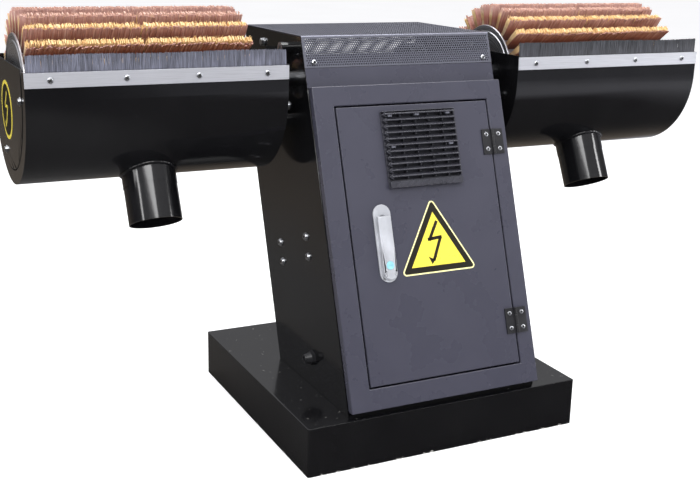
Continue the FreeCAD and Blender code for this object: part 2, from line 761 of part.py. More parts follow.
def make_lock_rotor():
    face = box_front - handle_plate
    stem = rod(Vector(handle_x, face - lever_lift, handle_pivot_rise), Vector(0, 1, 0), rotor_radius,
               lever_lift + handle_plate + door_return + 8)
    eye = rod(Vector(handle_x - rotor_block_width / 2, lever_pivot_depth, handle_pivot_rise), Vector(1, 0, 0),
              rotor_eye_radius, rotor_block_width)
    neck = box_between(handle_x - rotor_block_width / 2, handle_x + rotor_block_width / 2, lever_pivot_depth,
                       face - lever_lift, handle_pivot_rise - rotor_neck_height / 2,
                       handle_pivot_rise + rotor_neck_height / 2)
    pin = rod(Vector(handle_x - lever_width / 2 + 3, lever_pivot_depth, handle_pivot_rise), Vector(1, 0, 0),
              lever_pin_radius, lever_width - 6)
    cam_depth = box_front + door_return + 2
    cam = box_between(handle_x - cam_length, handle_x + 9, cam_depth, cam_depth + cam_sheet,
                      handle_pivot_rise - 9, handle_pivot_rise + 9)
    return place_in_column(join([stem, eye, neck, pin, cam]))


def make_lever():
    radius = lever_width / 2
    front = lever_pivot_depth - lever_thickness / 2
    back = lever_pivot_depth + lever_thickness / 2
    neck_top = handle_pivot_rise
    bar = box_between(handle_x - radius, handle_x + radius, front, back, lever_bottom + radius, neck_top)
    foot = rod(Vector(handle_x, front, lever_bottom + radius), Vector(0, 1, 0), radius, lever_thickness)
    roll = rod(Vector(handle_x - radius, lever_pivot_depth, neck_top), Vector(1, 0, 0), lever_thickness / 2,
               lever_width)
    # The pocket for the rotor's eye is open at the back only, so the front of the lever stays whole.
    pocket_width = rotor_block_width + 2 * lever_pocket_play
    pocket_radius = rotor_eye_radius + lever_pocket_play
    pocket = rod(Vector(handle_x - pocket_width / 2, lever_pivot_depth, handle_pivot_rise), Vector(1, 0, 0),
                 pocket_radius, pocket_width)
    mouth = box_between(handle_x - pocket_width / 2, handle_x + pocket_width / 2, lever_pivot_depth, back + 1,
                        handle_pivot_rise - lever_thickness, handle_pivot_rise + lever_thickness)
    bore = rod(Vector(handle_x - radius + 2.6, lever_pivot_depth, handle_pivot_rise), Vector(1, 0, 0),
               lever_pin_radius + running_clearance, lever_width - 5.2)
    well = rod(Vector(handle_x, front, button_rise), Vector(0, 1, 0), button_radius + running_clearance,
               lever_thickness - 1.2)
    return place_in_column(join([bar, foot, roll]).cut(gather([pocket, mouth, bore, well])))


def make_lock_button():
    front = lever_pivot_depth - lever_thickness / 2
    button = rod(Vector(handle_x, front - 0.6, button_rise), Vector(0, 1, 0), button_radius,
                 lever_thickness - 1.2 - button_travel)
    slot = box_between(handle_x - 4, handle_x + 4, front - 0.6, front + 0.6, button_rise - 0.8, button_rise + 0.8)
    return place_in_column(button.cut(slot))


def rounded_triangle(side, corner, thickness):
    # Equilateral plate standing on its base, corners rounded, centred on x = 0, in column coordinates.
    height = side * math.sqrt(3) / 2
    points = [(-side / 2, 0), (side / 2, 0), (0, height)]
    plate = plate_outline(points, -thickness, 0)
    upright = [edge for edge in plate.Edges if abs(edge.tangentAt(edge.FirstParameter).y) > 0.99]
    return plate.makeFillet(corner, upright)


def make_door_label():
    label = rounded_triangle(label_side, 7, label_sheet)
    label.translate(Vector(label_x, box_front, label_bottom))
    return place_in_column(label)


def make_mounting_plate():
    depth = box_back - box_sheet - 12
    low = box_low(box_back) + 18
    plate = box_between(-165, 165, depth, depth + 2, low, box_top_rise - 45)
    studs = [rod(Vector(sx * 150, depth + 2, rise), Vector(0, 1, 0), 5, 10)
             for sx in (-1, 1) for rise in (low + 15, box_top_rise - 60)]
    return place_in_column(join([plate] + studs))


def make_inverter():
    depth = box_back - box_sheet - 12
    body = box_between(-150, -30, depth - 45, depth, 300, 480)
    ribs = [box_between(-150 - 4, -150, depth - 40, depth - 6, 306 + k * 14, 310 + k * 14) for k in range(12)]
    panel = box_between(-132, -48, depth - 47, depth - 45, 400, 462)
    knob = rod(Vector(-68, depth - 50, 384), Vector(0, 1, 0), 7, 5)
    return place_in_column(join([body, panel, knob] + ribs))


def make_switchgear():
    # Rail with two contactors and a row of terminals.
    depth = box_back - box_sheet - 12
    rail = box_between(0, 150, depth - 8, depth, 330, 365)
    pieces = [rail]
    for x in (10, 62):
        pieces.append(box_between(x, x + 46, depth - 46, depth - 8, 308, 388))
        pieces.append(box_between(x + 8, x + 38, depth - 51, depth - 46, 330, 366))
    for k in range(5):
        pieces.append(box_between(114 + k * 7, 120 + k * 7, depth - 40, depth - 8, 325, 370))
    return place_in_column(join(pieces))


def make_cable_gland():
    face = Vector(-half_column, gland_depth, gland_rise)
    out = Vector(-1, 0, 0)
    nut = hex_prism(face, out, 13, 7)
    dome = Part.makeCone(12, 8, 13, face + out * 7, out)
    body = rod(face, -out, 9.8, side_sheet + 8)
    lock = hex_prism(face + Vector(side_sheet, 0, 0), -out, 13, 5)
    bore = rod(face + out * 25, -out, 5, 60)
    return place_in_column(join([nut, dome, body, lock]).cut(bore))


# ---- Dust hood, drawn for the right-hand side and mirrored for the left
def trough(radius, rise, x0, x1):
    # Solid with a round underside about the spindle and straight walls up to a level top.
    centre = Vector(x0, spindle.y, spindle.z)
    lower = rod(centre, Vector(1, 0, 0), radius, x1 - x0)
    upper = box_between(x0, x1, spindle.y - radius, spindle.y + radius, spindle.z, spindle.z + rise)
    block = box_between(x0 - 1, x1 + 1, spindle.y - radius - 1, spindle.y + radius + 1,
                        spindle.z, spindle.z + radius + 1)
    return join([lower.cut(block), upper])


def port_pipe(radius, near, far):
    # Part of a pipe that points away from the spindle, between two distances from the spindle's axis.
    axle = Vector(port_centre, spindle.y, spindle.z)
    return rod(axle + port_direction * near, port_direction, radius, far - near)


def make_hood():
    shell = trough(hood_radius, hood_wall_rise, hood_inner, hood_outer)
    inside = trough(hood_radius - hood_sheet, hood_wall_rise + 1, hood_inner + hood_sheet, hood_outer - hood_sheet)
    end_window = trough(cover_radius + cover_gap, hood_wall_rise + 1, hood_outer - hood_sheet - 1, hood_outer + 1)
    spindle_hole = rod(Vector(hood_inner, spindle.y, spindle.z), Vector(1, 0, 0), hood_spindle_hole, hood_sheet)
    bolt_holes = [rod(Vector(hood_inner, y, z), Vector(1, 0, 0), 4.2, hood_sheet) for y, z in boss_places(False)]
    strip_holes = [rod(Vector(x, spindle.y - hood_radius, spindle.z + seal_strip_top - seal_strip_height / 2),
                       Vector(0, 1, 0), 2.2, hood_sheet) for x in strip_screw_places()]
    end_plate = trough(hood_radius, hood_end_rise, hood_inner, hood_inner + hood_sheet)
    body = shell.cut(inside).fuse(end_plate).cut(gather([end_window, spindle_hole] + bolt_holes + strip_holes))
    tabs = []
    for angle in cover_bolt_angles:
        turn = math.radians(angle)
        centre = Vector(hood_outer - hood_sheet - 3, spindle.y + cover_bolt_circle * math.cos(turn),
                        spindle.z + cover_bolt_circle * math.sin(turn))
        tab = rod(centre, Vector(1, 0, 0), cover_tab, 3).fuse(
            box_between(0, 3, 0, hood_radius - hood_sheet / 2 - cover_bolt_circle, -cover_tab, cover_tab)
            .rotate(Vector(0, 0, 0), Vector(1, 0, 0), angle).translate(centre))
        tabs.append(tab.cut(rod(centre, Vector(1, 0, 0), 3.2, 3)))
    keep = trough(hood_radius - hood_sheet / 2, hood_wall_rise - 1, hood_outer - hood_sheet - 3, hood_outer)
    tabs = [tab.common(keep) for tab in tabs]
    inside_drum_space = hood_radius - port_outer_radius - 10
    pipe = join([port_pipe(port_outer_radius, inside_drum_space, port_mouth),
                 port_pipe(port_outer_radius + port_stop_step, inside_drum_space, port_mouth - port_stop)])
    drum_space = rod(Vector(hood_inner, spindle.y, spindle.z), Vector(1, 0, 0), hood_radius - hood_sheet,
                     hood_outer - hood_inner)
    pipe = pipe.cut(drum_space)
    duct = port_pipe(port_outer_radius - port_sheet, inside_drum_space - 20, port_mouth + 1)
    return join([body, pipe] + tabs).cut(duct)


def strip_screw_places():
    length = hood_outer - hood_inner
    first = hood_inner + 0.09 * length
    step = 0.82 * length / (seal_strip_screws - 1)
    return [first + k * step for k in range(seal_strip_screws)]


def make_seal_strip():
    front = spindle.y - hood_radius - seal_strip_sheet
    top = spindle.z + seal_strip_top
    strip = box_between(hood_inner, hood_outer, front, front + seal_strip_sheet, top - seal_strip_height, top)
    holes = [rod(Vector(x, front, top - seal_strip_height / 2), Vector(0, 1, 0), 2.2, seal_strip_sheet)
             for x in strip_screw_places()]
    return strip.cut(gather(holes))


def make_bristle_seal():
    front = spindle.y - hood_radius + hood_sheet
    back = front + bristle_thickness
    low = spindle.z + bristle_root
    curtain = box_between(hood_inner + 4, hood_outer - 4, front, back, low, spindle.z + bristle_top)
    holes = [rod(Vector(x, front, spindle.z + seal_strip_top - seal_strip_height / 2), Vector(0, 1, 0), 2.2,
                 bristle_thickness) for x in strip_screw_places()]
    return curtain.cut(gather(holes))


def make_strip_screws():
    screws = []
    for x in strip_screw_places():
        start = Vector(x, spindle.y - hood_radius - seal_strip_sheet,
                       spindle.z + seal_strip_top - seal_strip_height / 2)
        head = Part.makeSphere(5.4, start + Vector(0, 2.6, 0)).common(
            box_between(x - 6, x + 6, start.y - 4, start.y, start.z - 6, start.z + 6))
        shank = rod(start, Vector(0, 1, 0), 2.2, seal_strip_sheet + hood_sheet + bristle_thickness + 3)
        nut = hex_prism(start + Vector(0, seal_strip_sheet + hood_sheet + bristle_thickness, 0), Vector(0, 1, 0),
                        3.5, 3)
        screws.append(join([head, shank, nut]))
    return gather(screws + [mirrored_to_left(screw) for screw in screws])


def make_hood_cover():
    plate = trough(cover_radius, hood_wall_rise + 4, hood_outer - hood_sheet, hood_outer + 1)
    holes = []
    for angle in cover_bolt_angles:
        turn = math.radians(angle)
        holes.append(rod(Vector(hood_outer - hood_sheet, spindle.y + cover_bolt_circle * math.cos(turn),
                                spindle.z + cover_bolt_circle * math.sin(turn)), Vector(1, 0, 0), 3.2,
                         hood_sheet + 1))
    return plate.cut(gather(holes))


def make_cover_bolts():
    bolts = []
    for angle in cover_bolt_angles:
        turn = math.radians(angle)
        face = Vector(hood_outer + 1, spindle.y + cover_bolt_circle * math.cos(turn),
                      spindle.z + cover_bolt_circle * math.sin(turn))
        out = Vector(1, 0, 0)
        head = rod(face, out, 5.5, 3.5).cut(hex_prism(face + out, out, 2, 3))
        washer = rod(face, out, 8, 0.8)
        shank = rod(face, -out, 3.2, hood_sheet + 8)
        bolts.append(join([head, washer, shank]))
    return gather(bolts + [mirrored_to_left(bolt) for bolt in bolts])


def make_standoffs():
    pieces = []
    out = Vector(1, 0, 0)
    for y, z in boss_places(False):
        face = Vector(half_column, y, z)
        pieces.append(rod(face, out, standoff_radius, hood_inner - half_column))
        pieces[-1] = join([pieces[-1], rod(face - out * 12, out, 4.2, hood_inner - half_column + 24),
                           hex_prism(face - out * side_sheet, -out, 6.5, 6.5),
                           hex_prism(Vector(hood_inner + hood_sheet, y, z), out, 6.5, 5)])
    front, back = boss_places(True)
    face = Vector(half_column, front[0], front[1])
    boss = rod(face, out, standoff_radius, upper_boss_length)
    boss = boss.fuse(rod(face, -out, 4.2, side_sheet + 8))
    pieces.append(boss.cut(rod(face + out * (upper_boss_length - 9), out, 5, 10)).removeSplitter())
    face = Vector(half_column, back[0], back[1])
    pieces.append(join([rod(face, out, 8.5, 1.6), hex_prism(face + out * 1.6, out, 6.5, 5.5),
                        rod(face, -out, 4.2, side_sheet + 10)]))
    return gather(pieces + [mirrored_to_left(piece) for piece in pieces])


def make_hood_labels():
    centre = Vector(hood_outer + 1, spindle.y + hood_label_back, spindle.z - hood_label_drop)
    label = rod(centre, Vector(1, 0, 0), hood_label_radius, label_sheet)
    return gather([label, mirrored_to_left(label)])


# ---- Brush drum, drawn for the right-hand side with its first row straight up
def drum_segments():
    middle = (drum_inner + drum_outer) / 2
    first = drum_inner + disc_sheet + 1
    last = drum_outer - 1
    return [(first, middle - segment_gap / 2), (middle + segment_gap / 2, last)]


def drum_on_side(shape, side):
    # The left drum is clamped a little further out on its end of the spindle than the right one.
    if side > 0:
        return shape
    return mirrored_to_left(shape).translated(Vector(-left_drum_offset, 0, 0))


def make_drum_hub(side, phase):
    first = drum_inner + disc_sheet
    length = drum_outer - first
    out = Vector(1, 0, 0)
    centre = Vector(first, spindle.y, spindle.z)
    rim = rod(centre, out, drum_core_radius, length).cut(
        rod(centre, out, drum_core_radius - drum_rim, length))
    webs = [rod(Vector(x0, spindle.y, spindle.z), out, drum_core_radius - drum_rim + 1, drum_web)
            for x0 in (first, drum_outer - drum_web)]
    core = join([rim] + webs).cut(rod(centre, out, spindle_radius, length))
    wide = slot_width()
    slots = []
    for k in range(row_count):
        slot = box_between(first, drum_outer, spindle.y - slot_front(), spindle.y - slot_front() + wide,
                           spindle.z + drum_core_radius - slot_depth, spindle.z + drum_core_radius + 5)
        slots.append(slot.rotate(spindle, out, phase + k * 360.0 / row_count))
    return drum_on_side(core.cut(gather(slots)), side)


def slot_front():
    # Distance from the row's middle plane to the front of its slot, where the abrasive lies.
    return tampico_root / 2 + row_side_gap + abrasive_sheet


def slot_width():
    return tampico_root + abrasive_sheet + 2 * row_side_gap


def make_discs(side):
    out = Vector(1, 0, 0)
    discs = []
    for x0 in (drum_inner, drum_outer):
        start = Vector(x0, spindle.y, spindle.z)
        disc = rod(start, out, disc_radius, disc_sheet).cut(rod(start, out, spindle_radius, disc_sheet))
        discs.append(disc)
    return gather([drum_on_side(disc, side) for disc in discs])


def row_copies(block, side, phase):
    rows = []
    for k in range(row_count):
        row = block.copy()
        row.rotate(spindle, Vector(1, 0, 0), phase + k * 360.0 / row_count)
        rows.append(drum_on_side(row, side))
    return rows


def make_tampico(side, phase):
    # Brush strips that widen from the slot to the tips.
    root = drum_core_radius - slot_depth + 0.5
    outline = [(-tampico_root / 2, root), (-tampico_root / 2, disc_radius), (-tampico_tip / 2, drum_tip_radius),
               (tampico_tip / 2, drum_tip_radius), (tampico_root / 2, disc_radius), (tampico_root / 2, root)]
    rows = []
    for x0, x1 in drum_segments():
        points = [(spindle.y + y, spindle.z + z) for y, z in outline]
        rows += row_copies(profile_along_x(points, x0, x1), side, phase)
    return gather(rows)


def make_abrasive(side, phase):
    # Slashed abrasive sheets lying against the front of each brush strip.
    root = drum_core_radius - slot_depth + 0.5
    near = -tampico_root / 2 - row_side_gap
    tip = -tampico_tip / 2 - row_side_gap
    high = drum_tip_radius - abrasive_short
    flare = near + (tip - near) * (high - disc_radius) / (drum_tip_radius - disc_radius)
    outline = [(near, root), (near, disc_radius), (flare, high), (flare - abrasive_sheet, high),
               (near - abrasive_sheet, disc_radius), (near - abrasive_sheet, root)]
    rows = []
    for x0, x1 in drum_segments():
        points = [(spindle.y + y, spindle.z + z) for y, z in outline]
        rows += row_copies(profile_along_x(points, x0, x1), side, phase)
    return gather(rows)


# ---- Write every piece
screw_holes = screw_clearance_cuts()
hood = make_hood()
seal_strip = make_seal_strip()
bristle_seal = make_bristle_seal()
hood_cover = make_hood_cover()

pieces = {
    "base_plinth": make_base(),
    "ballast_plate": make_ballast(),
    "column_bolts": make_column_bolts(),
    "side_panel_left": make_side_panel(-1),
    "side_panel_right": make_side_panel(1),
    "back_panel": make_back_panel(),
    "front_strip": make_front_strip().cut(screw_holes),
    "top_cover": make_top_cover().cut(screw_holes),
    "cover_screws": make_cover_screws(),
    "column_floor": make_column_floor(),
    "wall_bolts": make_wall_bolts(),
    "bearing_beam": make_bearing_beam(),
    "pillow_blocks": make_pillow_blocks(),
    "bearing_bolts": make_bearing_bolts(),
    "spindle": make_spindle(),
    "spindle_nuts": make_spindle_nuts(),
    "spindle_pulley": make_pulley(spindle, spindle_pulley_radius, spindle_radius),
    "motor_pulley": make_pulley(motor_axis, motor_pulley_radius, motor_shaft_radius),
    "drive_belts": make_belts(),
    "motor_plate": make_motor_plate(),
    "motor_body": make_motor_body(),
    "motor_fan_cover": make_motor_fan_cover(),
    "motor_terminal_box": make_terminal_box(),
    "motor_shaft": make_motor_shaft(),
    "electrical_box": make_electrical_box(),
    "box_door": make_door(),
    "hinge_frame_leaves": make_hinge_leaves(1),
    "hinge_door_leaves": make_hinge_leaves(-1),
    "hinge_pins": make_hinge_pins(),
    "hinge_frame_screws": gather(hinge_screw_set(1)),
    "hinge_door_screws": gather(hinge_screw_set(-1)),
    "door_vent": make_vent(),
    "handle_plate": make_handle_plate(),
    "lock_rotor": make_lock_rotor(),
    "handle_lever": make_lever(),
    "lock_button": make_lock_button(),
    "door_label": make_door_label(),
    "mounting_plate": make_mounting_plate(),
    "inverter": make_inverter(),
    "switchgear": make_switchgear(),
    "cable_gland": make_cable_gland(),
    "hood_right": hood,
    "hood_left": mirrored_to_left(hood),
    "seal_strip_right": seal_strip,
    "seal_strip_left": mirrored_to_left(seal_strip),
    "bristle_seal_right": bristle_seal,
    "bristle_seal_left": mirrored_to_left(bristle_seal),
    "strip_screws": make_strip_screws(),
    "hood_cover_right": hood_cover,
    "hood_cover_left": mirrored_to_left(hood_cover),
    "hood_cover_bolts": make_cover_bolts(),
    "hood_standoffs": make_standoffs(),
    "hood_labels": make_hood_labels(),
    "drum_hub_right": make_drum_hub(1, right_drum_phase),
    "drum_hub_left": make_drum_hub(-1, left_drum_phase),
    "drum_discs": gather([make_discs(1), make_discs(-1)]),
    "tampico_right": make_tampico(1, right_drum_phase),
    "tampico_left": make_tampico(-1, left_drum_phase),
    "abrasive_right": make_abrasive(1, right_drum_phase),
    "abrasive_left": make_abrasive(-1, left_drum_phase),
}

for node, shape in pieces.items():
    export(shape, node)
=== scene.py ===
import json
import math

import bmesh
import bpy
import numpy as np
from bpy.props import FloatProperty, FloatVectorProperty, IntProperty, PointerProperty
from mathutils import Matrix, Vector

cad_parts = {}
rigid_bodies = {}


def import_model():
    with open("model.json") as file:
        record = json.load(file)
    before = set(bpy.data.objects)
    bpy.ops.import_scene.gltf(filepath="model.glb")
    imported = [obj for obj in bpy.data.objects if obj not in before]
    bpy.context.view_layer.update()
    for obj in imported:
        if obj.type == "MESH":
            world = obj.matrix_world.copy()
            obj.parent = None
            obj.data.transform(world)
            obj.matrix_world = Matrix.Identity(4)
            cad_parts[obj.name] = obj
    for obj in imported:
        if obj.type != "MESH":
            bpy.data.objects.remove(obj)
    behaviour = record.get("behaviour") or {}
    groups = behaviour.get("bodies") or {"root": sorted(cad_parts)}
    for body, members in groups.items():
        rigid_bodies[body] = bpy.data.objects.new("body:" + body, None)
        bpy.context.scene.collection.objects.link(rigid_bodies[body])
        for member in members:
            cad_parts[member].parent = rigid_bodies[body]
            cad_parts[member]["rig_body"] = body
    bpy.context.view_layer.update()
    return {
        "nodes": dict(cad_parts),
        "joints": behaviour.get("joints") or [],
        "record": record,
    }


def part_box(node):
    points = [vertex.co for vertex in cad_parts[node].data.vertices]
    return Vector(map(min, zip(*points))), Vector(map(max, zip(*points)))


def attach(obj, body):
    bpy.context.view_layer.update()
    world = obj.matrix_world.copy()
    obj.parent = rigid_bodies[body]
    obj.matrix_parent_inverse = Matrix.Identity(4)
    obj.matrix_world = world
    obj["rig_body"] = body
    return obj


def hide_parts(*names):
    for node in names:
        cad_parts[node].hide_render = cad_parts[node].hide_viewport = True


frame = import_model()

bl_info = {
    "name": "Pedestal brush sander",
    "version": (1, 0, 0),
    "blender": (4, 5, 0),
    "location": "3D View > Sidebar > Brush sander",
    "description": "Bristles, cut sheets, perforated cover, signs and finishes of a double-ended brush sander",
    "category": "Object",
}

MM = 0.001

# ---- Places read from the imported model
joints = {joint["name"]: joint for joint in frame["joints"]}
ACROSS = Vector((1, 0, 0))
RISE = Vector(joints["door_hinge"]["axis"]).normalized()
INWARD = -Vector(joints["lock_turn"]["axis"]).normalized()
axle_low, axle_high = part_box("spindle")
AXLE = (axle_low + axle_high) / 2


def leaning(x, depth, rise):
    """A point of the shared frame from its place across, into and up the leaning front."""
    return ACROSS * x + INWARD * depth + RISE * rise


def span(node):
    """Lowest and highest places of a node across, into and up the leaning front."""
    corners = np.array([v.co for v in frame["nodes"][node].data.vertices])
    axes = np.array([ACROSS, INWARD, RISE])
    places = corners @ axes.T
    return places.min(0), places.max(0)


# ---- Colours and sizes that can be changed
def tint(code):
    """Linear colour with alpha from an sRGB hex code."""
    values = [int(code[i:i + 2], 16) / 255 for i in (1, 3, 5)]
    linear = [v / 12.92 if v <= 0.04045 else ((v + 0.055) / 1.055) ** 2.4 for v in values]
    return (*linear, 1.0)


def colour(name, note, code):
    return FloatVectorProperty(name=name, description=note, subtype="COLOR", size=4, min=0, max=1,
                               default=tint(code))


def length(name, note, millimetres):
    return FloatProperty(name=name, description=note, subtype="DISTANCE", unit="LENGTH", min=0.0,
                         default=millimetres * MM, precision=5)


class SanderFinishes(bpy.types.PropertyGroup):
    black_paint: colour("Black paint", "Powder coat of the base, the side walls and the hoods", "#0e0e10")
    graphite_paint: colour("Graphite paint", "Powder coat of the cabinet, its door and the front strip", "#3c3c48")
    tampico_tip: colour("Brush tips", "Cut ends of the plant fibre", "#f0cd92")
    # The shaft colour is partly dust and partly painted shade lower down in the brush.
    tampico_shaft: colour("Brush shafts", "Plant fibre lower down, where dust settles", "#a67a48")
    abrasive: colour("Abrasive", "Grit side of the slashed abrasive cloth", "#965c4e")
    abrasive_dust: colour("Abrasive dust", "Worn and dusty ends of the abrasive cloth", "#d2aba2")
    bristle: colour("Seal bristle", "Nylon of the bristle seals", "#747686")
    sign_yellow: colour("Sign yellow", "Printed film of the warning signs", "#f4e04e")


class SanderSizes(bpy.types.PropertyGroup):
    rows: IntProperty(name="Brush rows", description="Rows of brush round each drum", min=6, max=40, default=24)
    left_phase: FloatProperty(name="Left drum turn", description="How far the left drum's first row is turned",
                              subtype="ANGLE", unit="ROTATION", default=math.radians(5))
    right_phase: FloatProperty(name="Right drum turn", description="How far the right drum's first row is turned",
                               subtype="ANGLE", unit="ROTATION", default=math.radians(3.5))
    tuft_width: length("Tuft width", "Width of one bundle of plant fibre along the drum", 3.0)
    fibre_pitch: length("Fibre pitch", "Distance between the loose fibres at the brush tips", 2.0)
    strip_width: length("Strip width", "Width of one slashed strip of abrasive cloth", 3.7)
    bristle_pitch: length("Bristle pitch", "Distance between the drawn bristles of a seal", 0.9)
    hole_pitch: length("Hole pitch", "Distance between the holes of the perforated cover", 5.0)
    hole_size: length("Hole size", "Across the holes of the perforated cover", 3.7)
    fold_radius: length("Fold radius", "Outside radius of folded sheet edges", 1.5)


# ---- Meshes
def add_piece(name, mesh, body, materials, replaces=()):
    """Puts a finished mesh in the scene, riding on a body, with its materials in order."""
    piece = bpy.data.objects.new(name, mesh)
    bpy.context.scene.collection.objects.link(piece)
    mesh.materials.clear()
    for material in materials:
        mesh.materials.append(material)
    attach(piece, body)
    if replaces:
        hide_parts(*replaces)
    return piece


def mesh_of(name, corners, faces, smooth=False):
    mesh = bpy.data.meshes.new(name)
    mesh.from_pydata([tuple(c) for c in corners], [], [tuple(int(i) for i in f) for f in faces])
    mesh.validate()
    mesh.shade_smooth() if smooth else mesh.shade_flat()
    return mesh


def quads_mesh(name, corners, quads):
    """Mesh of many quads from arrays, without a slow list of tuples."""
    mesh = bpy.data.meshes.new(name)
    mesh.vertices.add(len(corners))
    mesh.vertices.foreach_set("co", np.ascontiguousarray(corners, np.float32).ravel())
    mesh.loops.add(quads.size)
    mesh.loops.foreach_set("vertex_index", quads.ravel().astype(np.int32))
    mesh.polygons.add(len(quads))
    mesh.polygons.foreach_set("loop_start", np.arange(0, quads.size, 4, dtype=np.int32))
    mesh.update(calc_edges=True)
    mesh.shade_flat()
    return mesh


def slivers(centres, half_widths, half_depths, lean=None):
    """Corners and quads of closed slivers with square ends. centres is (count, stations, 3) as along, across
    and out, and the half sizes are (count, stations). lean moves the depth edges along, as on a twisted strip."""
    count, stations = half_widths.shape
    signs = ((-1, -1), (1, -1), (1, 1), (-1, 1))
    corners = np.zeros((count, stations, 4, 3))
    for k, (sx, st) in enumerate(signs):
        corners[:, :, k] = centres
        corners[:, :, k, 0] += sx * half_widths
        corners[:, :, k, 1] += st * half_depths
        if lean is not None:
            corners[:, :, k, 1] += sx * lean
    faces = []
    for s in range(stations - 1):
        for k in range(4):
            low, high = 4 * s, 4 * s + 4
            faces.append((low + k, low + (k + 1) % 4, high + (k + 1) % 4, high + k))
    faces.append((3, 2, 1, 0))
    last = 4 * (stations - 1)
    faces.append((last, last + 1, last + 2, last + 3))
    quads = np.array(faces)[None] + (np.arange(count) * stations * 4)[:, None, None]
    return corners.reshape(count, stations * 4, 3), quads.reshape(-1, 4)


def turned(profile, base, out, steps=48, bore=False):
    """Corners and faces of a profile of (radius, height) turned about out from base."""
    out = Vector(out).normalized()
    side = out.orthogonal().normalized()
    other = out.cross(side)
    corners, faces = [], []
    rings = []
    for radius, height in profile:
        ring = []
        for k in range(steps):
            turn = 2 * math.pi * k / steps
            ring.append(len(corners))
            corners.append(base + out * height + (side * math.cos(turn) + other * math.sin(turn)) * radius)
        rings.append(ring)
    for low, high in zip(rings, rings[1:] + rings[:1] if bore else rings[1:]):
        faces += [(low[k], low[(k + 1) % steps], high[(k + 1) % steps], high[k]) for k in range(steps)]
    if not bore:
        faces += [tuple(reversed(rings[0])), tuple(rings[-1])]
    return corners, faces


def gathered(parts):
    """One list of corners and one of faces from several (corners, faces)."""
    corners, faces = [], []
    for more_corners, more_faces in parts:
        start = len(corners)
        corners += list(more_corners)
        faces += [tuple(i + start for i in face) for face in more_faces]
    return corners, faces


def prism(outline, shift):
    """Corners and faces of a closed outline of points pushed by a vector."""
    count = len(outline)
    corners = [Vector(p) for p in outline] + [Vector(p) + Vector(shift) for p in outline]
    faces = [(k, (k + 1) % count, (k + 1) % count + count, k + count) for k in range(count)]
    faces += [tuple(reversed(range(count))), tuple(range(count, 2 * count))]
    return corners, faces


def leaning_box(low, high):
    """A block given by its lowest and highest places across, into and up the leaning front."""
    outline = [leaning(x, low[1], rise) for x, rise in
               ((low[0], low[2]), (high[0], low[2]), (high[0], high[2]), (low[0], high[2]))]
    return prism(outline, INWARD * (high[1] - low[1]))


def outward(mesh):
    """Turns every face of a closed mesh outwards."""
    work = bmesh.new()
    work.from_mesh(mesh)
    bmesh.ops.recalc_face_normals(work, faces=work.faces)
    work.to_mesh(mesh)
    work.free()


def soften(piece, width, steps=2, angle=35.0):
    """Rounds the sharp edges of a piece and shades it as one smooth skin."""
    piece.data.shade_smooth()
    piece.data.set_sharp_from_angle(angle=math.radians(angle))
    bevel = piece.modifiers.new("rounded edges", "BEVEL")
    bevel.width = width
    bevel.segments = steps
    bevel.limit_method = "ANGLE"
    bevel.angle_limit = math.radians(angle)
    bevel.use_clamp_overlap = True
    bevel.harden_normals = True
    return piece


def loose_parts(mesh):
    """Lowest and highest corner and the polygons of each part of a mesh that is joined to no other."""
    places = {}
    leader = [places.setdefault(tuple(round(c, 6) for c in v.co), v.index) for v in mesh.vertices]

    def first(i):
        while leader[i] != i:
            leader[i] = leader[leader[i]]
            i = leader[i]
        return i

    for edge in mesh.edges:
        leader[first(edge.vertices[0])] = first(edge.vertices[1])
    groups = {}
    for polygon in mesh.polygons:
        groups.setdefault(first(polygon.vertices[0]), []).append(polygon)
    found = []
    for polygons in groups.values():
        corners = np.array([mesh.vertices[i].co for polygon in polygons for i in polygon.vertices])
        found.append((Vector(corners.min(0)), Vector(corners.max(0)), polygons))
    return found


def folded_copy(node, width, shortest, materials, name=None, hollows=True):
    """Copy of a CAD node whose long sharp edges are rounded as a fold is; it stands for the node. Inner edges
    stay sharp when hollows is off, so that what fits in a pocket still has its room."""
    source = frame["nodes"][node]
    mesh = bpy.data.meshes.new(name or node + "_folded")
    work = bmesh.new()
    work.from_mesh(source.data)
    bmesh.ops.remove_doubles(work, verts=work.verts, dist=0.01 * MM)
    bmesh.ops.recalc_face_normals(work, faces=work.faces)
    weights = work.edges.layers.float.new("bevel_weight_edge")
    for edge in work.edges:
        if len(edge.link_faces) != 2:
            continue
        bend = edge.calc_face_angle(0.0)
        edge.smooth = bend < math.radians(30)
        if bend > math.radians(38) and edge.calc_length() > shortest and (hollows or edge.is_convex):
            edge[weights] = 1.0
    for face in work.faces:
        face.smooth = True
        face.material_index = 0
    work.to_mesh(mesh)
    work.free()
    piece = add_piece(mesh.name, mesh, source["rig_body"], materials, (node,))
    bevel = piece.modifiers.new("folds", "BEVEL")
    bevel.width = width
    bevel.segments = 3
    bevel.limit_method = "WEIGHT"
    bevel.use_clamp_overlap = False
    bevel.harden_normals = True
    return piece


# ---- Materials
def add_node(tree, kind, settings=None, links=None):
    """Adds one shader node. A setting is a property of the node, or else the value of an input."""
    made = tree.nodes.new(kind)
    for key, value in (settings or {}).items():
        if isinstance(key, str) and key not in made.inputs and hasattr(made, key):
            setattr(made, key, value)
        else:
            made.inputs[key].default_value = value
    for key, source in (links or {}).items():
        tree.links.new(source, made.inputs[key])
    return made


def surface(name, base, metallic=0.0, roughness=0.5, **sockets):
    """A new material with one Principled shader. Returns the material, its tree and the shader."""
    material = bpy.data.materials.new(name)
    material.use_nodes = True
    tree = material.node_tree
    shader = tree.nodes["Principled BSDF"]
    shader.inputs["Base Color"].default_value = base
    shader.inputs["Metallic"].default_value = metallic
    shader.inputs["Roughness"].default_value = roughness
    for key, value in sockets.items():
        shader.inputs[key.replace("_", " ")].default_value = value
    material.diffuse_color = base
    return material, tree, shader


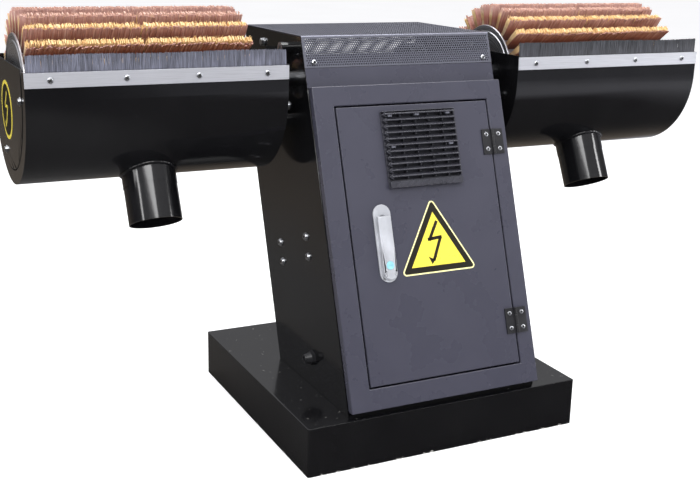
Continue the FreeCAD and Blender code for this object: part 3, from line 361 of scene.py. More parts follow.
def stretched(tree, scale):
    """Object coordinates in metres times a scale for each direction."""
    place = add_node(tree, "ShaderNodeTexCoord")
    return add_node(tree, "ShaderNodeMapping", {"Scale": scale}, {"Vector": place.outputs["Object"]}).outputs[0]


def mottle(tree, vector, scale, detail=3.0, roughness=0.55, distortion=0.0):
    settings = {"Scale": scale, "Detail": detail, "Roughness": roughness, "Distortion": distortion}
    return add_node(tree, "ShaderNodeTexNoise", settings, {"Vector": vector}).outputs["Fac"]


def ranged(tree, value, low, high, to_low, to_high):
    settings = {"From Min": low, "From Max": high, "To Min": to_low, "To Max": to_high}
    return add_node(tree, "ShaderNodeMapRange", settings, {"Value": value}).outputs[0]


def mixed(tree, share, first, second, blend="MIX"):
    """Colour mix. first and second are colours or outputs."""
    made = add_node(tree, "ShaderNodeMix", {"data_type": "RGBA", "blend_type": blend}, {0: share})
    for index, value in ((6, first), (7, second)):
        if isinstance(value, bpy.types.NodeSocket):
            tree.links.new(value, made.inputs[index])
        else:
            made.inputs[index].default_value = value
    return made.outputs[2]


def bumped(tree, shader, height, strength, distance, before=None):
    links = {"Height": height}
    if before is not None:
        links["Normal"] = before
    made = add_node(tree, "ShaderNodeBump", {"Strength": strength, "Distance": distance}, links)
    tree.links.new(made.outputs[0], shader.inputs["Normal"])
    return made.outputs[0]


def powder_coat(name, base, roughness, worn=False):
    """Powder coat melts into a skin with soft orange-peel ripples about 3 mm apart, so reflections stay clear
    but waver. Handling leaves faint duller patches, and on the base the coat is chipped along its foot."""
    material, tree, shader = surface(name, base, roughness=roughness, Coat_Weight=0.25, Coat_Roughness=0.06)
    plain = stretched(tree, (1, 1, 1))
    patches = mottle(tree, plain, 1 / 0.09, 4.0)
    tree.links.new(ranged(tree, patches, 0.35, 0.7, roughness * 0.92, roughness * 1.12), shader.inputs["Roughness"])
    pale = tuple(c * 1.1 + 0.002 for c in base[:3]) + (1.0,)
    body = mixed(tree, ranged(tree, patches, 0.3, 0.8, 0.0, 1.0), base, pale)
    grit = mottle(tree, plain, 1 / 0.0022, 2.0)
    specks = ranged(tree, grit, 0.70, 0.76, 0.0, 0.2)
    body = mixed(tree, specks, body, tint("#6a6a6c"))
    if worn:
        height = add_node(tree, "ShaderNodeSeparateXYZ", links={"Vector": plain}).outputs["Z"]
        chips = mottle(tree, plain, 1 / 0.012, 5.0, 0.7)
        foot = ranged(tree, height, 0.001, 0.010, 0.34, 0.0)
        top = ranged(tree, height, 0.0968, 0.098, 0.0, 0.20)
        reach = add_node(tree, "ShaderNodeMath", {"operation": "ADD"}, {0: chips, 1: foot})
        reach = add_node(tree, "ShaderNodeMath", {"operation": "ADD"}, {0: reach.outputs[0], 1: top})
        bare = ranged(tree, reach.outputs[0], 0.86, 0.90, 0.0, 0.85)
        body = mixed(tree, bare, body, tint("#b4b3ae"))
    tree.links.new(body, shader.inputs["Base Color"])
    peel = mottle(tree, plain, 1 / 0.0035, 1.0)
    sway = mottle(tree, plain, 1 / 0.12, 1.0)
    first = bumped(tree, shader, peel, 0.22, 0.00012)
    bumped(tree, shader, sway, 0.35, 0.0015, first)
    return material


def drawn_metal(name, base, roughness, along, metallic=1.0):
    """Metal brushed or rolled along one direction, so highlights stretch across the grain. The real grain is
    about 0.1 mm; it is drawn at 0.6 mm, because finer lines would not show."""
    material, tree, shader = surface(name, base, metallic=metallic, roughness=roughness)
    scale = [1 / 0.0006] * 3
    scale[along] = 1 / 0.05
    grain = mottle(tree, stretched(tree, scale), 1.0, 2.0)
    tree.links.new(ranged(tree, grain, 0.3, 0.7, roughness * 0.8, roughness * 1.3), shader.inputs["Roughness"])
    dull = tuple(c * 0.82 for c in base[:3]) + (1.0,)
    tree.links.new(mixed(tree, ranged(tree, grain, 0.45, 0.75, 0.0, 1.0), base, dull), shader.inputs["Base Color"])
    bumped(tree, shader, grain, 0.15, 0.00008)
    return material


def turned_metal(name, base, roughness, centre):
    """Metal faced on a lathe: fine rings about the axis catch the light as two bright fans. The rings are
    drawn 1.5 mm apart, coarser than the real tool marks, so that they show."""
    material, tree, shader = surface(name, base, metallic=1.0, roughness=roughness)
    place = add_node(tree, "ShaderNodeTexCoord")
    moved = add_node(tree, "ShaderNodeVectorMath", {"operation": "SUBTRACT", 1: centre}, {0: place.outputs["Object"]})
    flat = add_node(tree, "ShaderNodeVectorMath", {"operation": "MULTIPLY", 1: (0, 1, 1)}, {0: moved.outputs[0]})
    radius = add_node(tree, "ShaderNodeVectorMath", {"operation": "LENGTH"}, {0: flat.outputs[0]}).outputs["Value"]
    rings = add_node(tree, "ShaderNodeTexNoise", {"noise_dimensions": "1D", "Scale": 1 / 0.0015, "Detail": 2.0},
                     {"W": radius}).outputs["Fac"]
    tree.links.new(ranged(tree, rings, 0.3, 0.7, roughness * 0.7, roughness * 1.5), shader.inputs["Roughness"])
    bumped(tree, shader, rings, 0.25, 0.00008)
    return material


def moulded_plastic(name, base, roughness):
    """Injection-moulded plastic with a fine spark-eroded texture, drawn about 0.8 mm apart, and a soft sheen."""
    material, tree, shader = surface(name, base, roughness=roughness)
    plain = stretched(tree, (1, 1, 1))
    grain = mottle(tree, plain, 1 / 0.0008, 2.0)
    cloud = mottle(tree, plain, 1 / 0.03, 3.0)
    tree.links.new(ranged(tree, cloud, 0.3, 0.7, roughness * 0.85, roughness * 1.2), shader.inputs["Roughness"])
    pale = tuple(c * 1.3 + 0.003 for c in base[:3]) + (1.0,)
    tree.links.new(mixed(tree, ranged(tree, cloud, 0.4, 0.7, 0.0, 1.0), base, pale), shader.inputs["Base Color"])
    bumped(tree, shader, grain, 0.2, 0.00006)
    return material


def cast_finish(name, base, roughness):
    """Sand-cast metal under enamel: a lumpy skin with grains about 2 mm apart that scatter the highlight."""
    material, tree, shader = surface(name, base, roughness=roughness)
    plain = stretched(tree, (1, 1, 1))
    lumps = mottle(tree, plain, 1 / 0.002, 4.0)
    cloud = mottle(tree, plain, 1 / 0.04, 3.0)
    pale = tuple(c * 1.4 + 0.004 for c in base[:3]) + (1.0,)
    tree.links.new(mixed(tree, ranged(tree, cloud, 0.4, 0.7, 0.0, 1.0), base, pale), shader.inputs["Base Color"])
    tree.links.new(ranged(tree, lumps, 0.3, 0.7, roughness * 0.8, roughness * 1.2), shader.inputs["Roughness"])
    bumped(tree, shader, lumps, 0.35, 0.0003)
    return material


def printed_film(name, base, roughness=0.32):
    """Vinyl film with a solid screen-printed ink under clear gloss; slightly uneven ink and a soft shine."""
    material, tree, shader = surface(name, base, roughness=roughness)
    plain = stretched(tree, (1, 1, 1))
    ink = mottle(tree, plain, 1 / 0.012, 3.0)
    thin = tuple(c * 0.9 for c in base[:3]) + (1.0,)
    tree.links.new(mixed(tree, ranged(tree, ink, 0.4, 0.7, 0.0, 1.0), base, thin), shader.inputs["Base Color"])
    tree.links.new(ranged(tree, ink, 0.3, 0.7, roughness * 0.8, roughness * 1.2), shader.inputs["Roughness"])
    return material


def from_axle(tree):
    """Distance of a point from the spindle's axis, in metres."""
    place = add_node(tree, "ShaderNodeTexCoord")
    moved = add_node(tree, "ShaderNodeVectorMath", {"operation": "SUBTRACT", 1: AXLE}, {0: place.outputs["Object"]})
    flat = add_node(tree, "ShaderNodeVectorMath", {"operation": "MULTIPLY", 1: (0, 1, 1)}, {0: moved.outputs[0]})
    return add_node(tree, "ShaderNodeVectorMath", {"operation": "LENGTH"}, {0: flat.outputs[0]}).outputs["Value"]


def tampico(name, tip, shaft, tip_radius):
    """Dried plant fibre, cut square at the tips: pale cream-yellow cut ends, darker tan down the shaft, partly dust
    and partly painted shade, with each fibre, drawn 1.2 mm wide, a little lighter or darker than the next."""
    material, tree, shader = surface(name, tip, roughness=0.75, Sheen_Weight=0.15, Sheen_Roughness=0.5)
    radius = from_axle(tree)
    depth = ranged(tree, radius, tip_radius - 0.034, tip_radius - 0.004, 1.0, 0.0)
    streaks = mottle(tree, stretched(tree, (1 / 0.0012, 1 / 0.02, 1 / 0.02)), 1.0, 2.0)
    clumps = mottle(tree, stretched(tree, (1 / 0.012, 1 / 0.02, 1 / 0.02)), 1.0, 2.0)
    # Partly dust and partly painted shade: the fibres turn from the tip colour to the darker shaft colour from 4 mm
    # to 34 mm below the tips.
    body = mixed(tree, depth, tip, shaft)
    dark = tint("#5d3a10")
    body = mixed(tree, ranged(tree, streaks, 0.5, 0.85, 0.0, 0.75), body, dark)
    body = mixed(tree, ranged(tree, clumps, 0.52, 0.75, 0.0, 0.5), body, tint("#ffeecb"))
    # The rows that stand at the top are paler and pinker: partly dust from the abrasive settled there, partly painted
    # light on the rows that face up.
    place = add_node(tree, "ShaderNodeTexCoord")
    height = add_node(tree, "ShaderNodeSeparateXYZ", links={"Vector": place.outputs["Object"]}).outputs["Z"]
    dusty = ranged(tree, height, AXLE.z + 0.122, AXLE.z + 0.135, 0.0, 0.85)
    body = mixed(tree, dusty, body, tint("#cfa79e"))
    # Painted shade, and dirt: the roots between the rows are darkened, as little light and much dirt reach them.
    body = mixed(tree, ranged(tree, radius, tip_radius - 0.060, tip_radius - 0.022, 0.8, 0.0), body, tint("#382414"))
    tree.links.new(body, shader.inputs["Base Color"])
    bumped(tree, shader, streaks, 0.4, 0.0006)
    return material


def slashed_abrasive(name, grit, dust, tip_radius):
    """Aluminium-oxide grit on cotton cloth, slashed into strips: red-brown grit that turns pink and pale where
    the ends are worn and full of wood dust, with a matt, sandy face of about P150 drawn as 0.9 mm grains."""
    material, tree, shader = surface(name, grit, roughness=0.85)
    radius = from_axle(tree)
    ends = ranged(tree, radius, tip_radius - 0.030, tip_radius - 0.002, 0.0, 0.85)
    strips = mottle(tree, stretched(tree, (1 / 0.0034, 1 / 0.05, 1 / 0.05)), 1.0, 2.0)
    clumps = mottle(tree, stretched(tree, (1 / 0.05, 1 / 0.03, 1 / 0.03)), 1.0, 3.0)
    grains = mottle(tree, stretched(tree, (1, 1, 1)), 1 / 0.0009, 2.0)
    share = add_node(tree, "ShaderNodeMath", {"operation": "MULTIPLY"},
                     {0: ends, 1: ranged(tree, strips, 0.3, 0.65, 0.35, 1.0)}).outputs[0]
    body = mixed(tree, share, grit, dust)
    body = mixed(tree, ranged(tree, clumps, 0.45, 0.75, 0.0, 0.45), body, tint("#6a3a2c"))
    body = mixed(tree, ranged(tree, strips, 0.56, 0.8, 0.0, 0.6), body, tint("#dcbdb2"))
    body = mixed(tree, ranged(tree, grains, 0.55, 0.8, 0.0, 0.35), body, tint("#5a3025"))
    place = add_node(tree, "ShaderNodeTexCoord")
    height = add_node(tree, "ShaderNodeSeparateXYZ", links={"Vector": place.outputs["Object"]}).outputs["Z"]
    # The rows that stand at the top are paler and pinker: partly dust, partly painted light on the rows that face up.
    body = mixed(tree, ranged(tree, height, AXLE.z + 0.118, AXLE.z + 0.146, 0.0, 0.6), body, tint("#cda79f"))
    # Painted shade: the strips are darkened deep down towards the roots, between the rows.
    body = mixed(tree, ranged(tree, radius, tip_radius - 0.060, tip_radius - 0.025, 0.75, 0.0), body, tint("#2e1913"))
    tree.links.new(body, shader.inputs["Base Color"])
    bumped(tree, shader, grains, 0.5, 0.0004)
    return material


def nylon_bristle(name, base):
    """Extruded nylon filament packed in a strip: blue-grey with a soft shine along each filament, and dust that
    greys some of them. Filaments are drawn 0.9 mm wide, coarser than the real 0.3 mm."""
    material, tree, shader = surface(name, base, roughness=0.5, Sheen_Weight=0.2)
    streaks = mottle(tree, stretched(tree, (1 / 0.0011, 1 / 0.01, 1 / 0.04)), 1.0, 2.0)
    broad = mottle(tree, stretched(tree, (1 / 0.04, 1 / 0.04, 1 / 0.06)), 1.0, 3.0)
    dark, pale = (tuple(c * share for c in base[:3]) + (1.0,) for share in (0.45, 1.8))
    body = mixed(tree, ranged(tree, streaks, 0.38, 0.62, 0.0, 1.0), dark, base)
    body = mixed(tree, ranged(tree, streaks, 0.60, 0.78, 0.0, 0.6), body, pale)
    body = mixed(tree, ranged(tree, broad, 0.5, 0.75, 0.0, 0.3), body, pale)
    tree.links.new(body, shader.inputs["Base Color"])
    return material


def drive_rubber(name):
    """Moulded rubber with a cloth wrap: near black, matt, with a faint woven texture 1.2 mm apart."""
    material, tree, shader = surface(name, tint("#151515"), roughness=0.7)
    weave = add_node(tree, "ShaderNodeTexWave", {"Scale": 1 / 0.0048, "Distortion": 1.0},
                     {"Vector": stretched(tree, (1, 1, 1))}).outputs["Fac"]
    tree.links.new(mixed(tree, weave, tint("#121212"), tint("#222220")), shader.inputs["Base Color"])
    bumped(tree, shader, weave, 0.3, 0.0002)
    return material


def floor_paint(name):
    """Smooth pale floor, rolled matt paint with a slow change of shade, which keeps the ground quiet. Glossy rays see
    painted reflections instead: a darker, warmer floor with brighter and darker patches laid out by place, so that
    the gloss paint mirrors them."""
    material, tree, shader = surface(name, tint("#f2f2f2"), roughness=0.8, Specular_IOR_Level=0.0)
    cloud = mottle(tree, stretched(tree, (1, 1, 1)), 1 / 0.8, 3.0)
    pale = mixed(tree, ranged(tree, cloud, 0.3, 0.7, 0.0, 1.0), tint("#fafafa"), tint("#f5f5f5"))
    # Painted reflection: only glossy rays see the colours below. They are darker and warmer behind the machine, with
    # a grey patch to the left and paler patches ahead to the right, all laid out by place.
    rays = add_node(tree, "ShaderNodeLightPath").outputs
    place = add_node(tree, "ShaderNodeTexCoord")
    split = add_node(tree, "ShaderNodeSeparateXYZ", links={"Vector": place.outputs["Object"]}).outputs
    ahead = add_node(tree, "ShaderNodeMath", {"operation": "MULTIPLY"},
                     {0: ranged(tree, split["X"], 0.7, 1.1, 0, 1), 1: ranged(tree, split["Y"], -1.3, -0.95, 1, 0)})
    bright_reflection_side = ranged(tree, split["X"], 1.3, 1.9, 0, 1)
    bright = add_node(tree, "ShaderNodeMath", {"operation": "MAXIMUM"}, {0: ahead.outputs[0], 1: bright_reflection_side})
    near = add_node(tree, "ShaderNodeMath", {"operation": "MULTIPLY"},
                    {0: ranged(tree, split["X"], -1.0, -0.60, 0, 1), 1: ranged(tree, split["X"], -0.45, -0.20, 1, 0)})
    painted_reflection = mixed(tree, ranged(tree, split["Y"], 0.0, 0.5, 0, 1), tint("#343231"), tint("#655e56"))
    painted_reflection = mixed(tree, near.outputs[0], painted_reflection, tint("#5c5b5a"))
    painted_reflection = mixed(tree, bright.outputs[0], painted_reflection, tint("#a2a3a9"))
    tree.links.new(mixed(tree, rays["Is Glossy Ray"], pale, painted_reflection), shader.inputs["Base Color"])
    glow = add_node(tree, "ShaderNodeMath", {"operation": "MULTIPLY", 1: 0.34}, {0: rays["Is Camera Ray"]})
    shader.inputs["Emission Color"].default_value = tint("#ffffff")
    tree.links.new(glow.outputs[0], shader.inputs["Emission Strength"])
    return material


def finish(kind):
    """The finish of that name, made the first time it is asked for."""
    found = bpy.data.materials.get(kind)
    if found:
        return found
    paint = bpy.context.scene.sander_finishes
    recipes = {
        "glossy_black_powder_coat": lambda: powder_coat(kind, tuple(paint.black_paint), 0.13),
        "chipped_black_powder_coat": lambda: powder_coat(kind, tuple(paint.black_paint), 0.16, worn=True),
        "satin_graphite_powder_coat": lambda: powder_coat(kind, tuple(paint.graphite_paint), 0.28),
        "perforated_zinc_steel": lambda: drawn_metal(kind, tint("#8a8b97"), 0.42, 0),
        "brushed_aluminium_bar": lambda: drawn_metal(kind, tint("#d4d5dc"), 0.45, 0, 0.6),
        "sawn_aluminium_hub": lambda: drawn_metal(kind, tint("#b9bbc0"), 0.4, 0),
        "turned_aluminium_disc": lambda: turned_metal(kind, tint("#e8e9ee"), 0.3, AXLE),
        "zinc_plated_steel": lambda: drawn_metal(kind, tint("#d6d8dc"), 0.28, 2),
        "ground_steel_bar": lambda: drawn_metal(kind, tint("#bfc1c5"), 0.3, 1),
        "cast_iron_enamel": lambda: cast_finish(kind, tint("#4a4f57"), 0.5),
        "motor_enamel": lambda: cast_finish(kind, tint("#2f3b4b"), 0.45),
        "wrapped_belt_rubber": lambda: drive_rubber(kind),
        "black_moulded_nylon": lambda: moulded_plastic(kind, tint("#1c1c1f"), 0.4),
        "black_moulded_vent": lambda: moulded_plastic(kind, tint("#34343b"), 0.28),
        "grey_vent_stud": lambda: moulded_plastic(kind, tint("#5b5c66"), 0.5),
        # Near-black insets on screw and bolt heads: painted shade for the hollows of their drives.
        "painted_shade_hollow": lambda: moulded_plastic(kind, tint("#060607"), 0.9),
        "grey_filter_foam": lambda: moulded_plastic(kind, tint("#2b2b31"), 0.9),
        "grey_moulded_case": lambda: moulded_plastic(kind, tint("#8d8f92"), 0.5),
        "pale_moulded_case": lambda: moulded_plastic(kind, tint("#c9cac6"), 0.5),
        "silver_lacquered_zinc": lambda: cast_finish(kind, tint("#a6a8ae"), 0.34),
        "teal_moulded_insert": lambda: moulded_plastic(kind, tint("#8cc5d2"), 0.35),
        "yellow_sign_film": lambda: printed_film(kind, tuple(paint.sign_yellow)),
        "pale_sign_border": lambda: printed_film(kind, tint("#fff8b4")),
        "black_sign_ink": lambda: printed_film(kind, tint("#171204"), 0.5),
        "cut_tampico_fibre": lambda: tampico(kind, tuple(paint.tampico_tip), tuple(paint.tampico_shaft),
                                             tip_radius()),
        "slashed_abrasive_cloth": lambda: slashed_abrasive(kind, tuple(paint.abrasive), tuple(paint.abrasive_dust),
                                                           tip_radius()),
        "nylon_seal_bristle": lambda: nylon_bristle(kind, tuple(paint.bristle)),
        # A darker copy of the seal nylon for the right seal: painted shade, as that seal stands in shade.
        "painted_shade_nylon_seal_bristle": lambda: nylon_bristle(kind, tint("#4b4c53")),
        "pale_floor_paint": lambda: floor_paint(kind),
    }
    return recipes[kind]()


# ---- Sizes of the drums, from the frame
def tip_radius():
    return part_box("tampico_right")[1].z - AXLE.z


def disc_radius():
    return (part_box("drum_discs")[1].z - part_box("drum_discs")[0].z) / 2


def disc_bore():
    """Radius of the hole in the end discs, from their node."""
    corners = np.array([v.co for v in frame["nodes"]["drum_discs"].data.vertices])
    return np.hypot(corners[:, 1] - AXLE.y, corners[:, 2] - AXLE.z).min()


def drum_runs(side):
    """The two lengths of each brush row along the drum, one for each segment."""
    places = np.unique(np.round([v.co.x for v in frame["nodes"]["tampico_" + side].data.vertices], 5))
    return (places[0], places[1]), (places[2], places[3])


def round_the_axle(corners, angles):
    """Turns rows given as along, across and out about the spindle, one angle for each group of corners."""
    turned_corners = corners.copy()
    cos, sin = np.cos(angles)[:, None], np.sin(angles)[:, None]
    across, out = corners[..., 1], corners[..., 2]
    turned_corners[..., 1] = AXLE.y + across * cos - out * sin
    turned_corners[..., 2] = AXLE.z + across * sin + out * cos
    return turned_corners


def row_places(side, pitch, rng, jitter=0.3):
    """Places along every row of a drum at a pitch: their x, their row's angle and their row's number."""
    sizes = bpy.context.scene.sander_sizes
    phase = sizes.left_phase if side == "left" else sizes.right_phase
    xs, angles, numbers = [], [], []
    for row in range(sizes.rows):
        for low, high in drum_runs(side):
            count = max(2, round((high - low) / pitch))
            step = (high - low) / count
            at = low + step * (np.arange(count) + 0.5)
            xs.append(at + rng.uniform(-jitter, jitter, count) * step)
            angles.append(np.full(count, phase + 2 * math.pi * row / sizes.rows))
            numbers.append(np.full(count, row))
    return np.concatenate(xs), np.concatenate(angles), np.concatenate(numbers)


def clipped(side, x, half):
    """Keeps slivers inside their own run, so that rows end square."""
    runs = drum_runs(side)
    first = x < (runs[0][1] + runs[1][0]) / 2
    inner = np.where(first, runs[0][0], runs[1][0])
    outer = np.where(first, runs[0][1], runs[1][1])
    return np.clip(x, inner + half, outer - half)


# ---- Operators, one for each piece or group of pieces
class SANDER_OT_plain_finishes(bpy.types.Operator):
    """Gives the pieces that keep their CAD shape a finish"""
    bl_idname = "sander.plain_finishes"
    bl_label = "Finishes of plain pieces"

    chosen = {
        "glossy_black_powder_coat": ("hood_left", "hood_right", "back_panel", "column_floor", "bearing_beam",
                              "motor_plate"),
        "zinc_plated_steel": ("ballast_plate", "column_bolts", "wall_bolts", "bearing_bolts",
                              "hinge_pins", "mounting_plate", "hood_cover_bolts",
                              "lock_rotor", "spindle_nuts"),
        "ground_steel_bar": ("spindle", "motor_shaft"),
        "cast_iron_enamel": ("pillow_blocks", "spindle_pulley", "motor_pulley"),
        "motor_enamel": ("motor_body", "motor_fan_cover", "motor_terminal_box"),
        "wrapped_belt_rubber": ("drive_belts",),
        "black_moulded_nylon": ("cable_gland",),
        "grey_moulded_case": ("inverter",),
        "pale_moulded_case": ("switchgear",),
        "sawn_aluminium_hub": ("drum_hub_left", "drum_hub_right"),
    }

    def execute(self, context):
        for kind, nodes in self.chosen.items():
            for node in nodes:
                mesh = frame["nodes"][node].data
                mesh.materials.clear()
                mesh.materials.append(finish(kind))
        return {"FINISHED"}


class SANDER_OT_folded_panels(bpy.types.Operator):
    """Makes the folded sheet pieces with rounded folds: base, column walls, front strip, cabinet and door"""
    bl_idname = "sander.folded_panels"
    bl_label = "Folded panels"

    def execute(self, context):
        fold = context.scene.sander_sizes.fold_radius
        chipped, black = [finish("chipped_black_powder_coat")], [finish("glossy_black_powder_coat")]
        folded_copy("base_plinth", 2.2 * fold, 30 * MM, chipped)
        for side in ("left", "right"):
            folded_copy("side_panel_" + side, fold, 30 * MM, black)
            folded_copy("hood_cover_" + side, fold, 0.5 * MM, black)
        for node, width in (("electrical_box", 1.5 * fold), ("box_door", 1.2 * fold), ("front_strip", 0.4 * fold)):
            folded_copy(node, width, 12 * MM, [finish("satin_graphite_powder_coat")])
        return {"FINISHED"}


class SANDER_OT_perforated_cover(bpy.types.Operator):
    """Builds the cover over the bearings from perforated sheet, with plain margins and rounded bends"""
    bl_idname = "sander.perforated_cover"
    bl_label = "Perforated cover"

    @staticmethod
    def panel(start, along, up, width, height, margin, thickness, pitch, hole):
        """One flat field of staggered six-sided holes, with both faces, the walls of the holes and plain edges."""
        normal = along.cross(up).normalized()
        rows = int((height - 2 * margin) / (pitch * 0.866))
        columns = int((width - 2 * margin - pitch / 2) / pitch)
        row_height = (height - 2 * margin) / rows
        turns = np.radians([0, 60, 120, 180, 240, 300])
        hole_x, hole_z = np.cos(turns) * hole / 2, np.sin(turns) * hole / 2
        cell_x = np.concatenate([np.array([0.5, 0.5, -0.5, -0.5, -0.5, 0.5]) * pitch, hole_x])
        cell_z = np.concatenate([np.array([0, 0.5, 0.5, 0, -0.5, -0.5]) * row_height, hole_z])
        spare = (width - columns * pitch - pitch / 2) / 2
        at_x, at_z = [], []
        for row in range(rows):
            shift = pitch / 2 * (row % 2)
            at_x.append(spare + shift + pitch * (np.arange(columns) + 0.5))
            at_z.append(np.full(columns, margin + row_height * (row + 0.5)))
        at_x, at_z = np.concatenate(at_x), np.concatenate(at_z)
        flat_x = at_x[:, None] + cell_x
        flat_z = at_z[:, None] + cell_z
        layers = []
        for depth in (0.0, -thickness):
            layers.append(np.array(start) + flat_x[..., None] * np.array(along) + flat_z[..., None] * np.array(up)
                          + depth * np.array(normal))
        corners = np.concatenate(layers, axis=1)
        faces = []
        for k in range(6):
            n = (k + 1) % 6
            faces.append((k, n, 6 + n, 6 + k))
            faces.append((12 + n, 12 + k, 18 + k, 18 + n))
            faces.append((6 + k, 6 + n, 18 + n, 18 + k))
        quads = np.array(faces)[None] + (np.arange(len(at_x)) * 24)[:, None, None]
        strips = []
        bands = [(0, width, 0, margin), (0, width, height - margin, height)]
        for row in range(rows):
            shift = pitch / 2 * (row % 2)
            low, high = margin + row_height * row, margin + row_height * (row + 1)
            bands.append((0, spare + shift, low, high))
            bands.append((spare + shift + columns * pitch, width, low, high))
        for x0, x1, z0, z1 in bands:
            block = []
            for depth in (0.0, -thickness):
                for x, z in ((x0, z0), (x1, z0), (x1, z1), (x0, z1)):
                    block.append(np.array(start) + x * np.array(along) + z * np.array(up) + depth * np.array(normal))
            strips.append(block)
        strips = np.array(strips)
        around = ((0, 1, 2, 3), (7, 6, 5, 4), (0, 4, 5, 1), (1, 5, 6, 2), (2, 6, 7, 3), (3, 7, 4, 0))
        edge_quads = np.array(around)[None] + (np.arange(len(strips)) * 8)[:, None, None]
        corners = corners.reshape(-1, 3)
        quads = np.concatenate([quads.reshape(-1, 4), edge_quads.reshape(-1, 4) + len(corners)])
        return np.concatenate([corners, strips.reshape(-1, 3)]), quads

    def execute(self, context):
        sizes = context.scene.sander_sizes
        low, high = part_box("top_cover")
        thickness = 1.5 * MM
        bend = 2.5 * MM
        front_top = high.z
        run = (front_top - span_foot("top_cover")) / RISE.z
        front_start = Vector((low.x, 0, 0)) + front_face_point("top_cover")
        margin = 2.5 * MM
        pieces = {
            "cover_front": (front_start, ACROSS, RISE, high.x - low.x, run - bend),
            "cover_top": (Vector((low.x, front_start.y + run * RISE.y + bend, high.z)), ACROSS, Vector((0, 1, 0)),
                          high.x - low.x, high.y - (front_start.y + run * RISE.y) - 2 * bend),
            "cover_back": (Vector((high.x, high.y, low_back("top_cover"))), -ACROSS, Vector((0, 0, 1)),
                           high.x - low.x, high.z - low_back("top_cover") - bend),
        }
        shown = []
        for name, (start, along, up, width, height) in pieces.items():
            corners, quads = self.panel(start, along, up, width, height, margin, thickness, sizes.hole_pitch,
                                        sizes.hole_size)
            mesh = quads_mesh(name, corners, quads)
            shown.append(add_piece(name, mesh, "machine_frame",
                                   [finish("perforated_zinc_steel")]))
        front_edge = front_start + RISE * (run - bend)
        top_start = Vector((low.x, front_start.y + run * RISE.y + bend, high.z))
        corner = Vector((low.x, front_start.y + run * RISE.y, high.z))
        back_corner = Vector((low.x, high.y, high.z))
        bends = [(front_edge, corner, top_start),
                 (back_corner - Vector((0, bend, 0)), back_corner, back_corner - Vector((0, 0, bend)))]
        parts = []
        for first, middle, last in bends:
            outer = [first.lerp(middle, t).lerp(middle.lerp(last, t), t) for t in np.linspace(0, 1, 6)]
            centre = (first + last) / 2 + ((first + last) / 2 - middle).normalized() * 0.5 * bend
            inner = [p + (centre - p).normalized() * thickness for p in outer]
            parts.append(prism(outer + inner[::-1], ACROSS * (high.x - low.x)))
        mesh = mesh_of("cover_bends", *gathered(parts))
        outward(mesh)
        mesh.shade_smooth()
        mesh.set_sharp_from_angle(angle=math.radians(40))
        bends_piece = add_piece("cover_bends", mesh, "machine_frame",
                                [finish("perforated_zinc_steel")])
        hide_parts("top_cover")
        return {"FINISHED"}


def front_face_point(node):
    """Lowest point of a node's leaning front face, at x = 0."""
    lows, _ = span(node)
    corners = [v.co for v in frame["nodes"][node].data.vertices]
    lowest = min(corner.dot(RISE) for corner in corners if corner.dot(INWARD) < lows[1] + 0.1 * MM)
    return leaning(0, lows[1], lowest)


def span_foot(node):
    return front_face_point(node).z


def low_back(node):
    """Height of the lower edge of a node's upright back face."""
    corners = [v.co for v in frame["nodes"][node].data.vertices]
    furthest = max(c.y for c in corners)
    return min(c.z for c in corners if c.y > furthest - 0.1 * MM)


